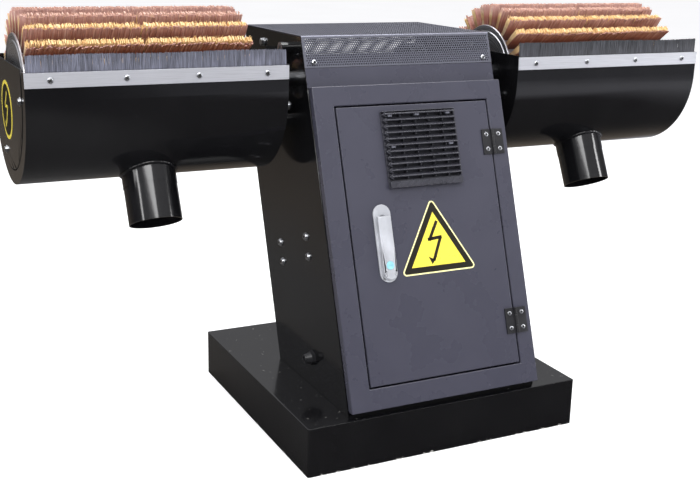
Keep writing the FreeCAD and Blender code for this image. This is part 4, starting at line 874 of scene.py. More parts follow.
class SANDER_OT_tampico_brushes(bpy.types.Operator):
    """Builds the plant-fibre brushes of both drums as bundles with loose fibres at their tips"""
    bl_idname = "sander.tampico_brushes"
    bl_label = "Tampico brushes"

    def execute(self, context):
        sizes = context.scene.sander_sizes
        for index, side in enumerate(("left", "right")):
            rng = np.random.default_rng(100 + index)
            mesh = self.bundles(side, sizes.tuft_width, rng)
            body = [finish("cut_tampico_fibre")]
            add_piece("tampico_bundles_" + side, mesh, "brush_spindle", body, ("tampico_" + side,))
            mesh = self.fibres(side, sizes.fibre_pitch, rng)
            add_piece("tampico_fibres_" + side, mesh, "brush_spindle", body)
        return {"FINISHED"}

    @staticmethod
    def bundles(side, width, rng):
        x, angles, _ = row_places(side, width, rng, 0.15)
        count = len(x)
        radii = np.array([disc_radius() - 23 * MM, disc_radius(), 132 * MM, 141 * MM, tip_radius()])
        out = np.tile(radii, (count, 1))
        out[:, 4] -= rng.uniform(0.5, 5.0, count) * MM
        out[:, 3] -= rng.uniform(0.0, 2.5, count) * MM
        half = np.tile(np.array([0.50, 0.50, 0.50, 0.46, 0.30]) * width, (count, 1))
        half *= rng.uniform(0.9, 1.12, (count, 1))
        deep = np.tile(np.array([4.0, 4.0, 5.3, 5.7, 4.4]) * MM, (count, 1)) * rng.uniform(0.92, 1.06, (count, 1))
        sway = rng.normal(0, 1, (count, 1)) * np.array([0, 0, 0.25, 0.6, 1.0]) * MM
        swing = rng.normal(0, 1, (count, 1)) * np.array([0, 0, 0.2, 0.45, 0.8]) * MM
        # The last bundles of each run are splayed and worn short.
        near_end = np.min([abs(x - end) for run in drum_runs(side) for end in run], axis=0) < 1.6 * width
        out[near_end, 4] -= rng.uniform(1.0, 7.0, near_end.sum()) * MM
        sway[near_end] *= 2.2
        along = clipped(side, x, 0.5 * width)[:, None] + sway
        centres = np.stack([along, swing, out], axis=-1)
        corners, quads = slivers(centres, half, deep)
        corners = round_the_axle(corners, angles)
        return quads_mesh("tampico_bundles_" + side, corners.reshape(-1, 3), quads)

    @staticmethod
    def fibres(side, pitch, rng):
        x, angles, _ = row_places(side, pitch, rng, 0.5)
        copies = 3
        x, angles = np.repeat(x, copies), np.repeat(angles, copies)
        count = len(x)
        across = rng.uniform(-5.4, 5.6, count) * MM
        low = rng.uniform(112, 124, count) * MM
        high = tip_radius() + rng.uniform(-3.2, 0.0, count) * MM
        lean_x = rng.normal(0, 1.3, count) * MM
        lean_t = rng.normal(0, 0.9, count) * MM + across * 0.12
        start = clipped(side, x + rng.uniform(-0.5, 0.5, count) * pitch, 0.7 * MM)
        stations = np.stack([np.stack([start, across, low], -1),
                             np.stack([start + lean_x, across + lean_t, high], -1)], axis=1)
        thick = rng.uniform(0.40, 0.62, count)[:, None] * np.array([1.0, 0.75]) * MM
        corners, quads = slivers(stations, thick, thick * 0.9)
        corners = round_the_axle(corners, angles)
        return quads_mesh("tampico_fibres_" + side, corners.reshape(-1, 3), quads)


class SANDER_OT_abrasive_sheets(bpy.types.Operator):
    """Builds the slashed abrasive sheets in front of each brush, strip by strip"""
    bl_idname = "sander.abrasive_sheets"
    bl_label = "Abrasive sheets"

    def execute(self, context):
        width = context.scene.sander_sizes.strip_width
        for index, side in enumerate(("left", "right")):
            rng = np.random.default_rng(200 + index)
            mesh = self.strips(side, width, rng)
            add_piece("abrasive_strips_" + side, mesh, "brush_spindle",
                      [finish("slashed_abrasive_cloth")], ("abrasive_" + side,))
        return {"FINISHED"}

    @staticmethod
    def strips(side, width, rng):
        x, angles, rows = row_places(side, width, rng, 0.08)
        count = len(x)
        # Rows differ in how worn and how curled they are, and so do stretches of each row.
        row_curl = rng.uniform(-0.4, 1.0, rows.max() + 1)[rows]
        stretch = np.sin(x / 0.06 + rows * 2.1) + 0.6 * np.sin(x / 0.023 + rows * 5.3)
        curl = (row_curl + 0.45 * stretch + rng.normal(0, 0.45, count)) * 2.2 * MM
        radii = np.array([79, 118, 130, 139, 146.2]) * MM
        out = np.tile(radii, (count, 1))
        out[:, 4] += rng.uniform(-3.5, 1.2, count) * MM
        out[:, 3] += rng.uniform(-1.0, 1.0, count) * MM
        front = np.array([-5.6, -6.3, -6.9, -7.4, -7.7]) * MM
        bend = np.array([0, 0.12, 0.42, 0.85, 1.35])
        across = front - np.clip(curl, -0.4 * MM, 6 * MM)[:, None] * bend
        sway = rng.normal(0, 1, (count, 1)) * np.array([0, 0.1, 0.35, 0.7, 1.2]) * MM
        along = clipped(side, x, 0.5 * width)[:, None] + sway
        half = np.tile(np.array([0.5, 0.49, 0.47, 0.45, 0.36]) * width, (count, 1))
        half *= rng.uniform(0.9, 1.02, (count, 1))
        deep = np.full((count, 5), 0.55 * MM)
        twist = rng.normal(0, 1, (count, 1)) * np.array([0, 0.08, 0.2, 0.35, 0.5]) * MM
        first = slivers(np.stack([along, across, out], -1), half, deep, twist)
        # A second layer behind, half a strip aside.
        behind = np.clip(along + 0.5 * width, drum_runs(side)[0][0] + width / 2, drum_runs(side)[1][1] - width / 2)
        out_behind = out.copy()
        out_behind[:, 4] += rng.uniform(-1.0, 0.2, count) * MM
        second = slivers(np.stack([behind, across + 1.3 * MM, out_behind], -1), half, deep, -twist)
        corners = np.concatenate([first[0], second[0]])
        quads = np.concatenate([first[1], second[1] + first[0].shape[0] * first[0].shape[1]])
        corners = round_the_axle(corners, np.concatenate([angles, angles]))
        return quads_mesh("abrasive_strips_" + side, corners.reshape(-1, 3), quads)


class SANDER_OT_drum_discs(bpy.types.Operator):
    """Turns the four end discs of the drums with a raised rim and a stepped face"""
    bl_idname = "sander.drum_discs"
    bl_label = "Drum discs"

    def execute(self, context):
        low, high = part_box("drum_discs")
        outer_radius = disc_radius()
        bore = disc_bore()
        sheet = high.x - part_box("drum_hub_right")[1].x
        faces_out = ((low.x, -1), (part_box("drum_hub_left")[1].x + sheet, 1),
                     (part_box("drum_hub_right")[0].x - sheet, -1), (high.x, 1))
        parts = []
        for x, out in faces_out:
            base = Vector((x - out * sheet, AXLE.y, AXLE.z))
            top = sheet
            profile = [(bore, 0), (outer_radius - 0.8 * MM, 0), (outer_radius, 0.8 * MM),
                       (outer_radius, top - 1.0 * MM), (outer_radius - 1.0 * MM, top),
                       (outer_radius - 7 * MM, top), (outer_radius - 8 * MM, top - 1.4 * MM),
                       (outer_radius - 13 * MM, top - 1.4 * MM), (outer_radius - 14 * MM, top - 0.3 * MM),
                       (44 * MM, top - 0.3 * MM), (42 * MM, top - 0.9 * MM), (bore, top - 0.9 * MM)]
            parts.append(turned(profile, base, (out, 0, 0), steps=96, bore=True))
        mesh = mesh_of("turned_discs", *gathered(parts))
        outward(mesh)
        mesh.shade_smooth()
        mesh.set_sharp_from_angle(angle=math.radians(25))
        add_piece("turned_discs", mesh, "brush_spindle", [finish("turned_aluminium_disc")],
                  ("drum_discs",))
        return {"FINISHED"}


class SANDER_OT_bristle_seals(bpy.types.Operator):
    """Builds the bristle seals behind the aluminium strips, with filaments of uneven length"""
    bl_idname = "sander.bristle_seals"
    bl_label = "Bristle seals"

    def execute(self, context):
        pitch = context.scene.sander_sizes.bristle_pitch
        for index, side in enumerate(("left", "right")):
            rng = np.random.default_rng(300 + index)
            low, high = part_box("bristle_seal_" + side)
            layers = []
            total = 0
            for layer in range(3):
                count = round((high.x - low.x) / pitch)
                x = low.x + (np.arange(count) + 0.5) * (high.x - low.x) / count
                x = np.clip(x + rng.uniform(-0.5, 0.5, count) * pitch, low.x + 0.6 * MM, high.x - 0.6 * MM)
                y = low.y + (layer + 0.5) * (high.y - low.y) / 3 + rng.uniform(-0.2, 0.2, count) * MM
                tip = high.z + rng.uniform(-2.8, 0.4, count) * MM - 0.8 * MM * (1 + np.sin(x / 0.045))
                lean_x = rng.normal(0, 0.8, count) * MM + 0.6 * MM * np.sin(x / 0.03 + layer)
                lean_y = rng.normal(0, 0.5, count) * MM
                middle = low.z + (high.z - low.z) * 0.55
                stations = np.stack([np.stack([x, y, np.full(count, low.z)], -1),
                                     np.stack([x + 0.1 * lean_x, y, np.full(count, middle)], -1),
                                     np.stack([x + lean_x, y + lean_y, tip], -1)], axis=1)
                half = np.tile(np.array([0.62, 0.60, 0.34]) * pitch, (count, 1))
                corners, quads = slivers(stations, half, np.full((count, 3), 0.45 * MM))
                layers.append((corners, quads + total))
                total += corners.shape[0] * corners.shape[1]
            corners = np.concatenate([c.reshape(-1, 3) for c, _ in layers])
            quads = np.concatenate([q for _, q in layers])
            mesh = quads_mesh("seal_bristles_" + side, corners, quads)
            # The right seal takes the darker copy of the nylon: painted shade.
            kind = "nylon_seal_bristle" if side == "left" else "painted_shade_nylon_seal_bristle"
            add_piece("seal_bristles_" + side, mesh, "machine_frame", [finish(kind)],
                      ("bristle_seal_" + side,))
        return {"FINISHED"}


class SANDER_OT_seal_strips(bpy.types.Operator):
    """Makes the aluminium strips along the hoods with eased edges, and their pan-head screws"""
    bl_idname = "sander.seal_strips"
    bl_label = "Seal strips"

    def execute(self, context):
        for side in ("left", "right"):
            folded_copy("seal_strip_" + side, 0.5 * MM, 15 * MM, [finish("brushed_aluminium_bar")])
        low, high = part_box("strip_screws")
        strip_low, strip_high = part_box("seal_strip_right")
        middle = (strip_low.z + strip_high.z) / 2
        first = strip_low.x + 0.09 * (strip_high.x - strip_low.x)
        step = 0.82 * (strip_high.x - strip_low.x) / 3
        parts, dark = [], []
        for side in (-1, 1):
            for k in range(4):
                base = Vector((side * (first + k * step), strip_low.y, middle))
                head, shade_inset = pan_head(base, Vector((0, -1, 0)), 5.4 * MM, 3.0 * MM)
                parts.append(head)
                dark.append(shade_inset)
        screw_piece("strip_screw_heads", parts, dark, "machine_frame")
        return {"FINISHED"}


def pan_head(base, out, radius, height, cross=True):
    """A domed screw head and a thin near-black cross or six-sided inset just above its dish, painted shade for the
    hollow of its drive.
    """
    profile = [(radius, 0), (radius, 0.35 * height), (radius * 0.93, 0.62 * height), (radius * 0.78, 0.84 * height),
               (radius * 0.55, 0.97 * height), (radius * 0.42, height), (radius * 0.36, 0.55 * height)]
    head = turned(profile, base, out, steps=28)
    side = out.orthogonal().normalized()
    other = out.cross(side)
    reach, wide = (radius * 0.52, radius * 0.12) if cross else (radius * 0.40, radius * 0.40)
    outline = []
    if cross:
        pattern = [(wide, wide), (wide, reach), (-wide, reach), (-wide, wide), (-reach, wide), (-reach, -wide),
                   (-wide, -wide), (-wide, -reach), (wide, -reach), (wide, -wide), (reach, -wide), (reach, wide)]
        outline = [base + side * a + other * b + out * height * 0.90 for a, b in pattern]
    else:
        for k in range(6):
            turn = math.pi * k / 3
            outline.append(base + (side * math.cos(turn) + other * math.sin(turn)) * reach + out * height * 0.90)
    return head, prism(outline, out * height * 0.115)


def screw_piece(name, heads, shade_insets, body):
    """Bright heads and their near-black insets, painted shade for the hollows of their drives, as one piece with two
    finishes.
    """
    corners, faces = gathered(heads + shade_insets)
    head_faces = sum(len(faces_of) for _, faces_of in heads)
    mesh = mesh_of(name, corners, faces)
    outward(mesh)
    indices = np.zeros(len(mesh.polygons), np.int32)
    indices[head_faces:] = 1
    mesh.shade_smooth()
    mesh.set_sharp_from_angle(angle=math.radians(35))
    # The second finish is painted shade for the drive hollows.
    piece = add_piece(name, mesh, body, [finish("zinc_plated_steel"), finish("painted_shade_hollow")])
    mesh.polygons.foreach_set("material_index", indices)
    return piece


class SANDER_OT_door_vent(bpy.types.Operator):
    """Builds the moulded vent of the door: sloping slats, stepped ends, dividers, studs and a ribbed foot"""
    bl_idname = "sander.door_vent"
    bl_label = "Door vent"

    def execute(self, context):
        low, high = span("door_vent")
        width, top = high[0] - low[0], high[2]
        face, back = low[1], high[1]
        rows = 11
        foot = 16 * MM
        pitch = (top - low[2] - foot) / rows
        parts = []
        # The base plate with its opening, as four bars.
        rim = 6 * MM
        plate = back - 3 * MM
        for x0, rise0, x1, rise1 in ((low[0], low[2], low[0] + rim, top), (high[0] - rim, low[2], high[0], top),
                                     (low[0] + rim, low[2], high[0] - rim, low[2] + foot),
                                     (low[0] + rim, top - rim, high[0] - rim, top)):
            parts.append(leaning_box((x0, plate, rise0), (x1, back, rise1)))
        # Sloping slats: thin at the lip, drooping outwards, with their ends cut to a point at the left.
        for k in range(rows):
            up = top - k * pitch
            outline = [(plate, up - 2.6 * MM), (plate, up), (face + 0.4 * MM, up - 4.9 * MM),
                       (face, up - 5.6 * MM), (face, up - 7.4 * MM), (face + 1.0 * MM, up - 7.4 * MM)]
            points = [leaning(low[0] + 4 * MM, depth, rise) for depth, rise in outline]
            parts.append(prism(points, ACROSS * (width - 6 * MM)))
            # Stepped end that joins this slat to the next one.
            left = low[0]
            chevron = [(left + 7 * MM, up - 1.0 * MM), (left, up - 0.5 * pitch),
                       (left + 7 * MM, up - pitch + 1.0 * MM), (left + 10 * MM, up - pitch + 1.0 * MM),
                       (left + 4 * MM, up - 0.5 * pitch), (left + 10 * MM, up - 1.0 * MM)]
            points = [leaning(x, face + 2.2 * MM, rise) for x, rise in chevron]
            parts.append(prism(points, INWARD * (plate - face - 2.2 * MM)))
            right = high[0] - 2.5 * MM
            parts.append(leaning_box((right, face + 3 * MM, up - pitch), (high[0], plate, up)))
            # Thin dividers behind the slat's lip, out of line from one row to the next.
            for share in (0.24, 0.43, 0.62, 0.81):
                x = low[0] + width * share + (k % 3) * 1.6 * MM
                parts.append(leaning_box((x, face + 4.5 * MM, up - pitch + 0.5 * MM),
                                         (x + 1.8 * MM, plate + MM, up - 2 * MM)))
        # Lip along the top and the deep bar along the foot, with diagonal ribs on its face.
        parts.append(leaning_box((low[0], face + 1.5 * MM, top - 1.6 * MM), (high[0], plate, top)))
        bar_face = face + 1.6 * MM
        parts.append(leaning_box((low[0], bar_face, low[2]), (high[0], plate, low[2] + foot - 3 * MM)))
        ribs = 10
        for k in range(ribs):
            x = low[0] + 8 * MM + (width - 22 * MM) * k / ribs
            bottom, upper = low[2] + 1.5 * MM, low[2] + foot - 4.5 * MM
            points = [leaning(a, face + 0.2 * MM, b) for a, b in ((x, bottom), (x + 6 * MM, bottom),
                                                                  (x + 14 * MM, upper), (x + 8 * MM, upper))]
            parts.append(prism(points, INWARD * (1.6 * MM)))
        mesh = mesh_of("vent_grille", *gathered(parts))
        outward(mesh)
        grille = add_piece("vent_grille", mesh, "cabinet_door", [finish("black_moulded_vent")],
                           ("door_vent",))
        bevel = grille.modifiers.new("moulded edges", "BEVEL")
        bevel.width = 0.35 * MM
        bevel.segments = 1
        bevel.limit_method = "ANGLE"
        # Dark filter behind the slats, and the square studs that show in the first and sixth rows.
        mesh = mesh_of("vent_filter", *leaning_box((low[0] + rim, back - 1.2 * MM, low[2] + foot),
                                                   (high[0] - rim, back - 0.4 * MM, top - rim)))
        outward(mesh)
        add_piece("vent_filter", mesh, "cabinet_door", [finish("grey_filter_foam")])
        studs = []
        for row, shares in ((0, (0.10, 0.47, 0.90)), (5, (0.10, 0.90))):
            up = top - row * pitch
            for share in shares:
                x = low[0] + width * share
                studs.append(leaning_box((x - 4.5 * MM, face + 2.0 * MM, up - pitch + 0.8 * MM),
                                         (x + 4.5 * MM, plate, up - 5.2 * MM)))
        mesh = mesh_of("vent_studs", *gathered(studs))
        outward(mesh)
        soften(add_piece("vent_studs", mesh, "cabinet_door", [finish("grey_vent_stud")]), 0.8 * MM)
        return {"FINISHED"}


class SANDER_OT_swing_handle(bpy.types.Operator):
    """Makes the swing handle: a silver plate with a stepped rim, a crowned lever and the lock button"""
    bl_idname = "sander.swing_handle"
    bl_label = "Swing handle"

    def execute(self, context):
        silver = [finish("silver_lacquered_zinc")]
        folded_copy("handle_plate", 1.6 * MM, 0.3 * MM, silver)
        folded_copy("handle_lever", 1.1 * MM, 0.3 * MM, silver, hollows=False)
        folded_copy("lock_button", 0.5 * MM, 0.2 * MM, [finish("teal_moulded_insert")])
        return {"FINISHED"}


class SANDER_OT_hinges(bpy.types.Operator):
    """Makes the block hinges with eased edges and countersunk screws, each with a near-black six-sided inset as
    painted shade for its socket
    """
    bl_idname = "sander.hinges"
    bl_label = "Hinges"

    def execute(self, context):
        for node in ("hinge_frame_leaves", "hinge_door_leaves"):
            folded_copy(node, 0.5 * MM, 1.5 * MM, [finish("black_moulded_nylon")])
        for node, body in (("hinge_frame_screws", "machine_frame"), ("hinge_door_screws", "cabinet_door")):
            heads, shade_insets = [], []
            for centre, radius in self.heads(node):
                out = -INWARD
                profile = [(radius - 0.2 * MM, -1.0 * MM), (radius, 0.25 * MM), (radius * 0.92, 0.5 * MM),
                           (radius * 0.5, 0.55 * MM), (radius * 0.46, 0.1 * MM)]
                heads.append(turned(profile, centre, out, steps=28))
                side = out.orthogonal().normalized()
                other = out.cross(side)
                outline = [centre + (side * math.cos(math.pi * k / 3) + other * math.sin(math.pi * k / 3))
                           * radius * 0.42 for k in range(6)]
                shade_insets.append(prism(outline, out * 0.3 * MM))
            piece = screw_piece(node + "_shown", heads, shade_insets, body)
            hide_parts(node)
        return {"FINISHED"}

    @staticmethod
    def heads(node):
        """Centre and radius of each countersunk head, from the node's loose parts."""
        mesh = frame["nodes"][node].data
        corners = np.array([v.co for v in mesh.vertices])
        axes = np.array([ACROSS, INWARD, RISE])
        places = corners @ axes.T
        face = places[:, 1].min()
        rim = places[places[:, 1] < face + 0.05 * MM]
        found = []
        for place in rim:
            for group in found:
                if math.hypot(place[0] - group[0][0], place[2] - group[0][2]) < 10 * MM:
                    group.append(place)
                    break
            else:
                found.append([place])
        heads = []
        for group in found:
            group = np.array(group)
            middle = (group.min(0) + group.max(0)) / 2
            radius = (group[:, 0].max() - group[:, 0].min()) / 2
            heads.append((leaning(middle[0], face, middle[2]), radius))
        return heads


def corner_points(side, corner, inset, steps=8):
    """Rounded upright triangle moved inwards by inset, about its own centre, as (x, z) points."""
    height = side * math.sqrt(3) / 2
    apexes = [Vector((-side / 2, -height / 3)), Vector((side / 2, -height / 3)), Vector((0, 2 * height / 3))]
    inner_radius = height / 3
    shrink = (inner_radius - corner) / inner_radius
    centres = [apex * shrink for apex in apexes]
    radius = max(corner - inset, 0.0)
    extra = 1.0 if corner >= inset else (inner_radius - inset) / (inner_radius - corner)
    points = []
    for k, centre in enumerate(centres):
        facing = math.atan2(apexes[k].y, apexes[k].x)
        for s in range(steps + 1):
            turn = facing - math.pi / 3 + 2 * math.pi / 3 * s / steps
            points.append(centre * extra + Vector((math.cos(turn), math.sin(turn))) * radius)
    return points


class SANDER_OT_warning_signs(bpy.types.Operator):
    """Builds the triangular signs as layers of printed film, each with a plain lightning flash"""
    bl_idname = "sander.warning_signs"
    bl_label = "Warning signs"

    # Ends of the flash's three strokes and the corners of its arrow head, as shares of the sign's side.
    strokes = (((0.038, 0.590), (-0.088, 0.372)), ((-0.104, 0.388), (0.082, 0.404)),
               ((0.066, 0.404), (-0.058, 0.140)))
    arrow_head = ((-0.082, 0.100), (-0.124, 0.196), (-0.066, 0.162), (-0.006, 0.190))
    stroke_width = 0.038

    def flash(self, foot, across, up, out, side, height):
        """Corners and faces of the flash, measured up from the middle of the sign's foot."""
        parts = []
        for start, end in self.strokes:
            start, end = (foot + across * p[0] * side + up * p[1] * side for p in (start, end))
            edge = (end - start).cross(out).normalized() * self.stroke_width * side / 2
            parts.append(prism([start - edge, end - edge, end + edge, start + edge], out * height))
        parts.append(prism([foot + across * x * side + up * y * side for x, y in self.arrow_head], out * height))
        return gathered(parts)

    @staticmethod
    def film(name, parts, kinds, body, node):
        """The printed layers of one sign as a piece; kinds gives each face its ink."""
        mesh = mesh_of(name, *gathered(parts))
        outward(mesh)
        inks = [finish("pale_sign_border"), finish("black_sign_ink"), finish("yellow_sign_film")]
        add_piece(name, mesh, body, inks, (node,) if node else ())
        mesh.polygons.foreach_set("material_index", kinds)

    def sign(self, name, centre, across, up, out, side, corner, body, node):
        """A triangular sign: pale border, black band, yellow field and black flash, each a little higher."""
        layers = ((0.0, 0, 0.40 * MM), (side * 0.016, 1, 0.46 * MM), (side * 0.084, 2, 0.52 * MM))
        parts, kinds = [], []
        for inset, kind, height in layers:
            outline = [centre + across * p.x + up * p.y for p in corner_points(side, corner, inset)]
            parts.append(prism(outline, out * height))
            kinds += [kind] * len(parts[-1][1])
        parts.append(self.flash(centre - up * side * math.sqrt(3) / 6, across, up, out, side, 0.58 * MM))
        kinds += [1] * len(parts[-1][1])
        self.film(name, parts, kinds, body, node)

    def execute(self, context):
        low, high = span("door_label")
        width = high[0] - low[0]
        corner = 7 * MM
        side = width + (2 * math.sqrt(3) - 2) * corner
        height = side * math.sqrt(3) / 2
        centre = leaning((low[0] + high[0]) / 2, high[1], low[2] + height / 3)
        self.sign("door_sign", centre, ACROSS, RISE, -INWARD, side, corner, "cabinet_door", "door_label")
        low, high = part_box("hood_labels")
        radius = (high.y - low.y) / 2
        for facing, name in ((-1, "left"), (1, "right")):
            centre = Vector((facing * (high.x - 0.4 * MM), (low.y + high.y) / 2, (low.z + high.z) / 2))
            self.round_sign("hood_sign_" + name, centre, Vector((0, facing, 0)), Vector((facing, 0, 0)), radius,
                            "hood_labels" if facing < 0 else None)
        return {"FINISHED"}

    def round_sign(self, name, centre, across, out, radius, node):
        """A round film with a yellow rim, a dark field and a yellow flash."""
        up = Vector((0, 0, 1))
        parts, kinds = [], []
        for reach, kind, height in ((radius, 2, 0.40 * MM), (radius * 0.88, 1, 0.46 * MM)):
            outline = [centre + (across * math.cos(turn) + up * math.sin(turn)) * reach
                       for turn in np.linspace(0, 2 * math.pi, 64, endpoint=False)]
            parts.append(prism(outline, out * height))
            kinds += [kind] * len(parts[-1][1])
        reach = 2.6 * radius
        parts.append(self.flash(centre - up * 0.35 * reach, across * 1.3, up, out, reach, 0.52 * MM))
        kinds += [2] * len(parts[-1][1])
        self.film(name, parts, kinds, "machine_frame", node)


class SANDER_OT_hood_details(bpy.types.Operator):
    """Adds the weld beads round the dust ports, finishes the standoffs, and makes the heads of the cover screws and
    wall bolts
    """
    bl_idname = "sander.hood_details"
    bl_label = "Hood details"

    def execute(self, context):
        self.welds()
        self.standoffs()
        self.cover_screws()
        self.wall_bolts()
        return {"FINISHED"}

    def welds(self):
        """A bead with slow ripples where each dust port meets its hood."""
        hood_low, hood_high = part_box("hood_right")
        shell = (hood_high.y - hood_low.y) / 2
        rng = np.random.default_rng(400)
        port = [m for m in frame["record"]["mounts"] if m["name"] == "dust_port_right"][0]
        mouth = Vector(port["pos_m"])
        radius = port["dims"]["r_mm"] * MM
        up = -Vector(port["axis"]).normalized()
        back = up.cross(ACROSS)
        count, bead_steps = 150, 10
        parts = []
        for side in (-1, 1):
            middle = Vector((side * mouth.x, mouth.y, mouth.z))
            centres = []
            for k in range(count):
                turn = 2 * math.pi * k / count
                foot = middle + ACROSS * radius * math.cos(turn) + back * radius * math.sin(turn)
                centres.append(self.meet(foot, up, shell))
            corners, faces = [], []
            for k, centre in enumerate(centres):
                ahead = (centres[(k + 1) % count] - centres[k - 1]).normalized()
                outer = (centre - middle - up * (centre - middle).dot(up)).normalized()
                lift = ahead.cross(outer).normalized()
                thick = (4.6 + 0.5 * math.sin(k * 2.1) + rng.normal(0, 0.15)) * MM
                for s in range(bead_steps):
                    turn = 2 * math.pi * s / bead_steps
                    corners.append(centre + (outer * math.cos(turn) + lift * math.sin(turn)) * thick)
            for k in range(count):
                for s in range(bead_steps):
                    n, t = (k + 1) % count, (s + 1) % bead_steps
                    faces.append((k * bead_steps + s, n * bead_steps + s, n * bead_steps + t, k * bead_steps + t))
            parts.append((corners, faces))
        mesh = mesh_of("port_welds", *gathered(parts))
        outward(mesh)
        mesh.shade_smooth()
        add_piece("port_welds", mesh, "machine_frame", [finish("glossy_black_powder_coat")])

    @staticmethod
    def standoffs():
        """Tubes painted black outside, with bare ends, and the zinc-plated screws and nuts that hold them."""
        piece = folded_copy("hood_standoffs", 0.4 * MM, 5 * MM, [finish("glossy_black_powder_coat"),
                                                                 finish("zinc_plated_steel")])
        kinds = np.ones(len(piece.data.polygons), np.int32)
        for low, high, polygons in loose_parts(piece.data):
            if high.y - low.y < 23 * MM:
                continue
            for polygon in polygons:
                middle = polygon.center - (low + high) / 2
                if abs(polygon.normal.x) < 0.5 and math.hypot(middle.y, middle.z) > 11 * MM:
                    kinds[polygon.index] = 0
        piece.data.polygons.foreach_set("material_index", kinds)

    @staticmethod
    def cover_screws():
        """Bright button heads at the corners of the perforated cover."""
        heads, shade_insets = [], []
        for low, high, polygons in loose_parts(frame["nodes"]["cover_screws"].data):
            corners = [frame["nodes"]["cover_screws"].data.vertices[i].co for p in polygons for i in p.vertices]
            front = low.y < 0
            out = -INWARD if front else Vector((0, 1, 0))
            rise = RISE if front else Vector((0, 0, 1))
            face = max(c.dot(out) for c in corners) - 3.5 * MM
            level = (min(c.dot(rise) for c in corners) + max(c.dot(rise) for c in corners)) / 2
            base = ACROSS * (low.x + high.x) / 2 + out * face + rise * level
            head, shade_inset = pan_head(base, out, 5.6 * MM, 3.4 * MM)
            heads.append(head)
            shade_insets.append(shade_inset)
        piece = screw_piece("cover_screw_heads", heads, shade_insets, "machine_frame")
        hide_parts("cover_screws")

    @staticmethod
    def wall_bolts():
        """Domed bolts through the side walls, each on a thin round washer, with a near-black six-sided inset as
        painted shade for its socket.
        """
        heads, shade_insets = [], []
        for low, high, _ in loose_parts(frame["nodes"]["wall_bolts"].data):
            side = 1 if low.x + high.x > 0 else -1
            middle = (low + high) / 2
            outermost = high.x if side > 0 else low.x
            washer = (high.z - low.z) / 2
            base = Vector((outermost - side * 6 * MM, middle.y, middle.z))
            out = Vector((side, 0, 0))
            heads.append(turned([(washer, 0), (washer, 1.1 * MM), (washer - 0.4 * MM, 1.5 * MM)], base, out))
            head, shade_inset = pan_head(base + out * 1.5 * MM, out, 6.8 * MM, 4.2 * MM, cross=False)
            heads.append(head)
            shade_insets.append(shade_inset)
        piece = screw_piece("wall_bolt_heads", heads, shade_insets, "machine_frame")
        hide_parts("wall_bolts")

    @staticmethod
    def meet(foot, up, shell):
        """Where a line up the port meets the hood's round underside."""
        offset = Vector((0, foot.y - AXLE.y, foot.z - AXLE.z))
        b = offset.dot(up)
        c = offset.dot(offset) - shell * shell
        return foot + up * (-b - math.sqrt(max(b * b - c, 0.0)))


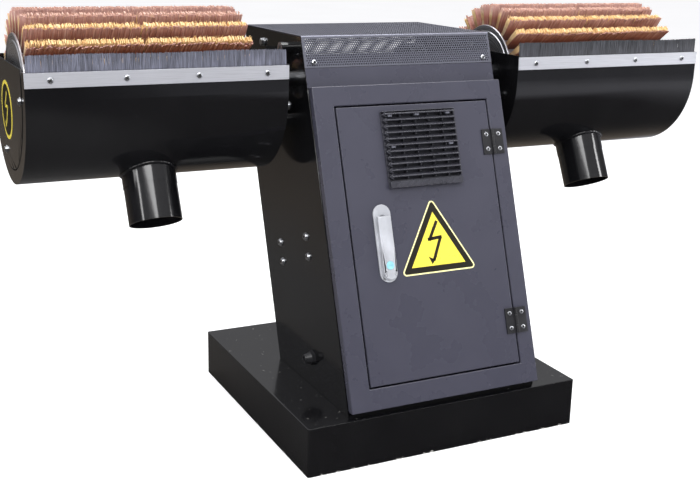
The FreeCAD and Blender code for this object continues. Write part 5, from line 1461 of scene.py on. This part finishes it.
class SANDER_OT_stage(bpy.types.Operator):
    """Sets the pale floor, the soft lights and the camera"""
    bl_idname = "sander.stage"
    bl_label = "Floor, lights and camera"

    def execute(self, context):
        scene = context.scene
        floor = mesh_of("floor", [(-40, -20, 0), (60, -20, 0), (60, 80, 0), (-40, 80, 0)], [(0, 1, 2, 3)])
        ground = bpy.data.objects.new("floor", floor)
        floor.materials.append(finish("pale_floor_paint"))
        scene.collection.objects.link(ground)
        self.sky(scene)
        self.soft_box("key_light", (-1.6, -2.6, 3.4), (0, 0, 0.5), (2.6, 1.6), 95)
        self.soft_box("front_fill", (1.9, -3.4, 1.9), (0.1, 0, 0.5), (1.2, 1.8), 36, False)
        self.soft_box("left_strip", (-3.4, -0.9, 1.3), (-0.5, 0, 0.6), (0.35, 1.8), 16)
        self.soft_box("right_strip", (2.9, -1.7, 1.2), (0.5, 0, 0.6), (0.3, 1.6), 18)
        self.soft_box("top_light", (0.2, 0.7, 3.6), (0, 0.1, 0.5), (3.2, 2.2), 70)
        self.soft_box("edge_light", (1.3, -0.4, 3.0), None, (3.4, 0.3), 26)
        self.camera(scene)
        scene.view_settings.view_transform = "Standard"
        return {"FINISHED"}

    @staticmethod
    def sky(scene):
        """White where it is seen directly; a studio that is bright overhead and dim low down elsewhere."""
        world = bpy.data.worlds.new("studio")
        world.use_nodes = True
        tree = world.node_tree
        tree.nodes.clear()
        place = add_node(tree, "ShaderNodeTexCoord")
        height = add_node(tree, "ShaderNodeSeparateXYZ", links={"Vector": place.outputs["Generated"]}).outputs["Z"]
        ramp = add_node(tree, "ShaderNodeValToRGB", links={"Fac": height})
        stops = ramp.color_ramp.elements
        stops[0].position, stops[0].color = 0.0, (0.10, 0.10, 0.11, 1)
        stops[1].position, stops[1].color = 0.85, (1.0, 1.0, 1.03, 1)
        for at, shade in ((0.22, 0.16), (0.42, 0.55)):
            stop = stops.new(at)
            stop.color = (shade, shade, shade * 1.04, 1)
        studio = add_node(tree, "ShaderNodeBackground", {"Strength": 0.85}, {"Color": ramp.outputs["Color"]})
        seen = add_node(tree, "ShaderNodeBackground", {"Color": (1, 1, 1, 1), "Strength": 1.0})
        rays = add_node(tree, "ShaderNodeLightPath")
        blend = add_node(tree, "ShaderNodeMixShader", links={0: rays.outputs["Is Camera Ray"],
                                                            1: studio.outputs[0], 2: seen.outputs[0]})
        add_node(tree, "ShaderNodeOutputWorld", links={"Surface": blend.outputs[0]})
        scene.world = world

    @staticmethod
    def soft_box(name, place, target, size, power, mirrored=True):
        light = bpy.data.lights.new(name, "AREA")
        light.shape = "RECTANGLE"
        light.size, light.size_y = size
        light.energy = power
        lamp = bpy.data.objects.new(name, light)
        lamp.location = place
        lamp.visible_glossy = mirrored
        if target:
            lamp.rotation_euler = (Vector(target) - Vector(place)).to_track_quat("-Z", "Y").to_euler()
        bpy.context.scene.collection.objects.link(lamp)

    @staticmethod
    def camera(scene):
        """A 56 mm lens just above the machine's height, to its left and looking 15 degrees down."""
        turn, pitch, roll = (math.radians(v) for v in (26.445, 15.354, 1.222))
        ahead = Vector((math.sin(turn) * math.cos(pitch), math.cos(turn) * math.cos(pitch), -math.sin(pitch)))
        right = Vector((math.cos(turn), -math.sin(turn), 0))
        up = right.cross(ahead)
        level_right = right * math.cos(roll) + up * math.sin(roll)
        level_up = up * math.cos(roll) - right * math.sin(roll)
        lens = bpy.data.cameras.new("camera")
        lens.sensor_width = 36
        lens.lens = 55.79
        lens.clip_end = 50
        view = bpy.data.objects.new("camera", lens)
        turned_axes = Matrix((level_right, level_up, -ahead)).transposed().to_4x4()
        view.matrix_world = Matrix.Translation((-1.0487, -1.9421, 0.9605)) @ turned_axes
        scene.collection.objects.link(view)
        scene.camera = view


class SANDER_PT_panel(bpy.types.Panel):
    """Sizes, colours and steps of the brush sander"""
    bl_idname = "SANDER_PT_panel"
    bl_label = "Brush sander"
    bl_space_type = "VIEW_3D"
    bl_region_type = "UI"
    bl_category = "Brush sander"

    def draw(self, context):
        for group in (context.scene.sander_finishes, context.scene.sander_sizes):
            box = self.layout.box()
            for name in group.bl_rna.properties.keys():
                if name not in ("name", "rna_type"):
                    box.prop(group, name)
        for operator in OPERATORS:
            self.layout.operator(operator.bl_idname)


OPERATORS = (SANDER_OT_plain_finishes, SANDER_OT_folded_panels, SANDER_OT_perforated_cover,
             SANDER_OT_tampico_brushes, SANDER_OT_abrasive_sheets, SANDER_OT_drum_discs, SANDER_OT_bristle_seals,
             SANDER_OT_seal_strips, SANDER_OT_door_vent, SANDER_OT_swing_handle, SANDER_OT_hinges,
             SANDER_OT_warning_signs, SANDER_OT_hood_details, SANDER_OT_stage)
CLASSES = (SanderFinishes, SanderSizes, *OPERATORS, SANDER_PT_panel)


def register():
    for kind in CLASSES:
        bpy.utils.register_class(kind)
    bpy.types.Scene.sander_finishes = PointerProperty(type=SanderFinishes)
    bpy.types.Scene.sander_sizes = PointerProperty(type=SanderSizes)


def unregister():
    del bpy.types.Scene.sander_sizes
    del bpy.types.Scene.sander_finishes
    for kind in reversed(CLASSES):
        bpy.utils.unregister_class(kind)


def main():
    register()
    for operator in OPERATORS:
        group, name = operator.bl_idname.split(".")
        getattr(getattr(bpy.ops, group), name)()


if __name__ == "__main__":
    main()
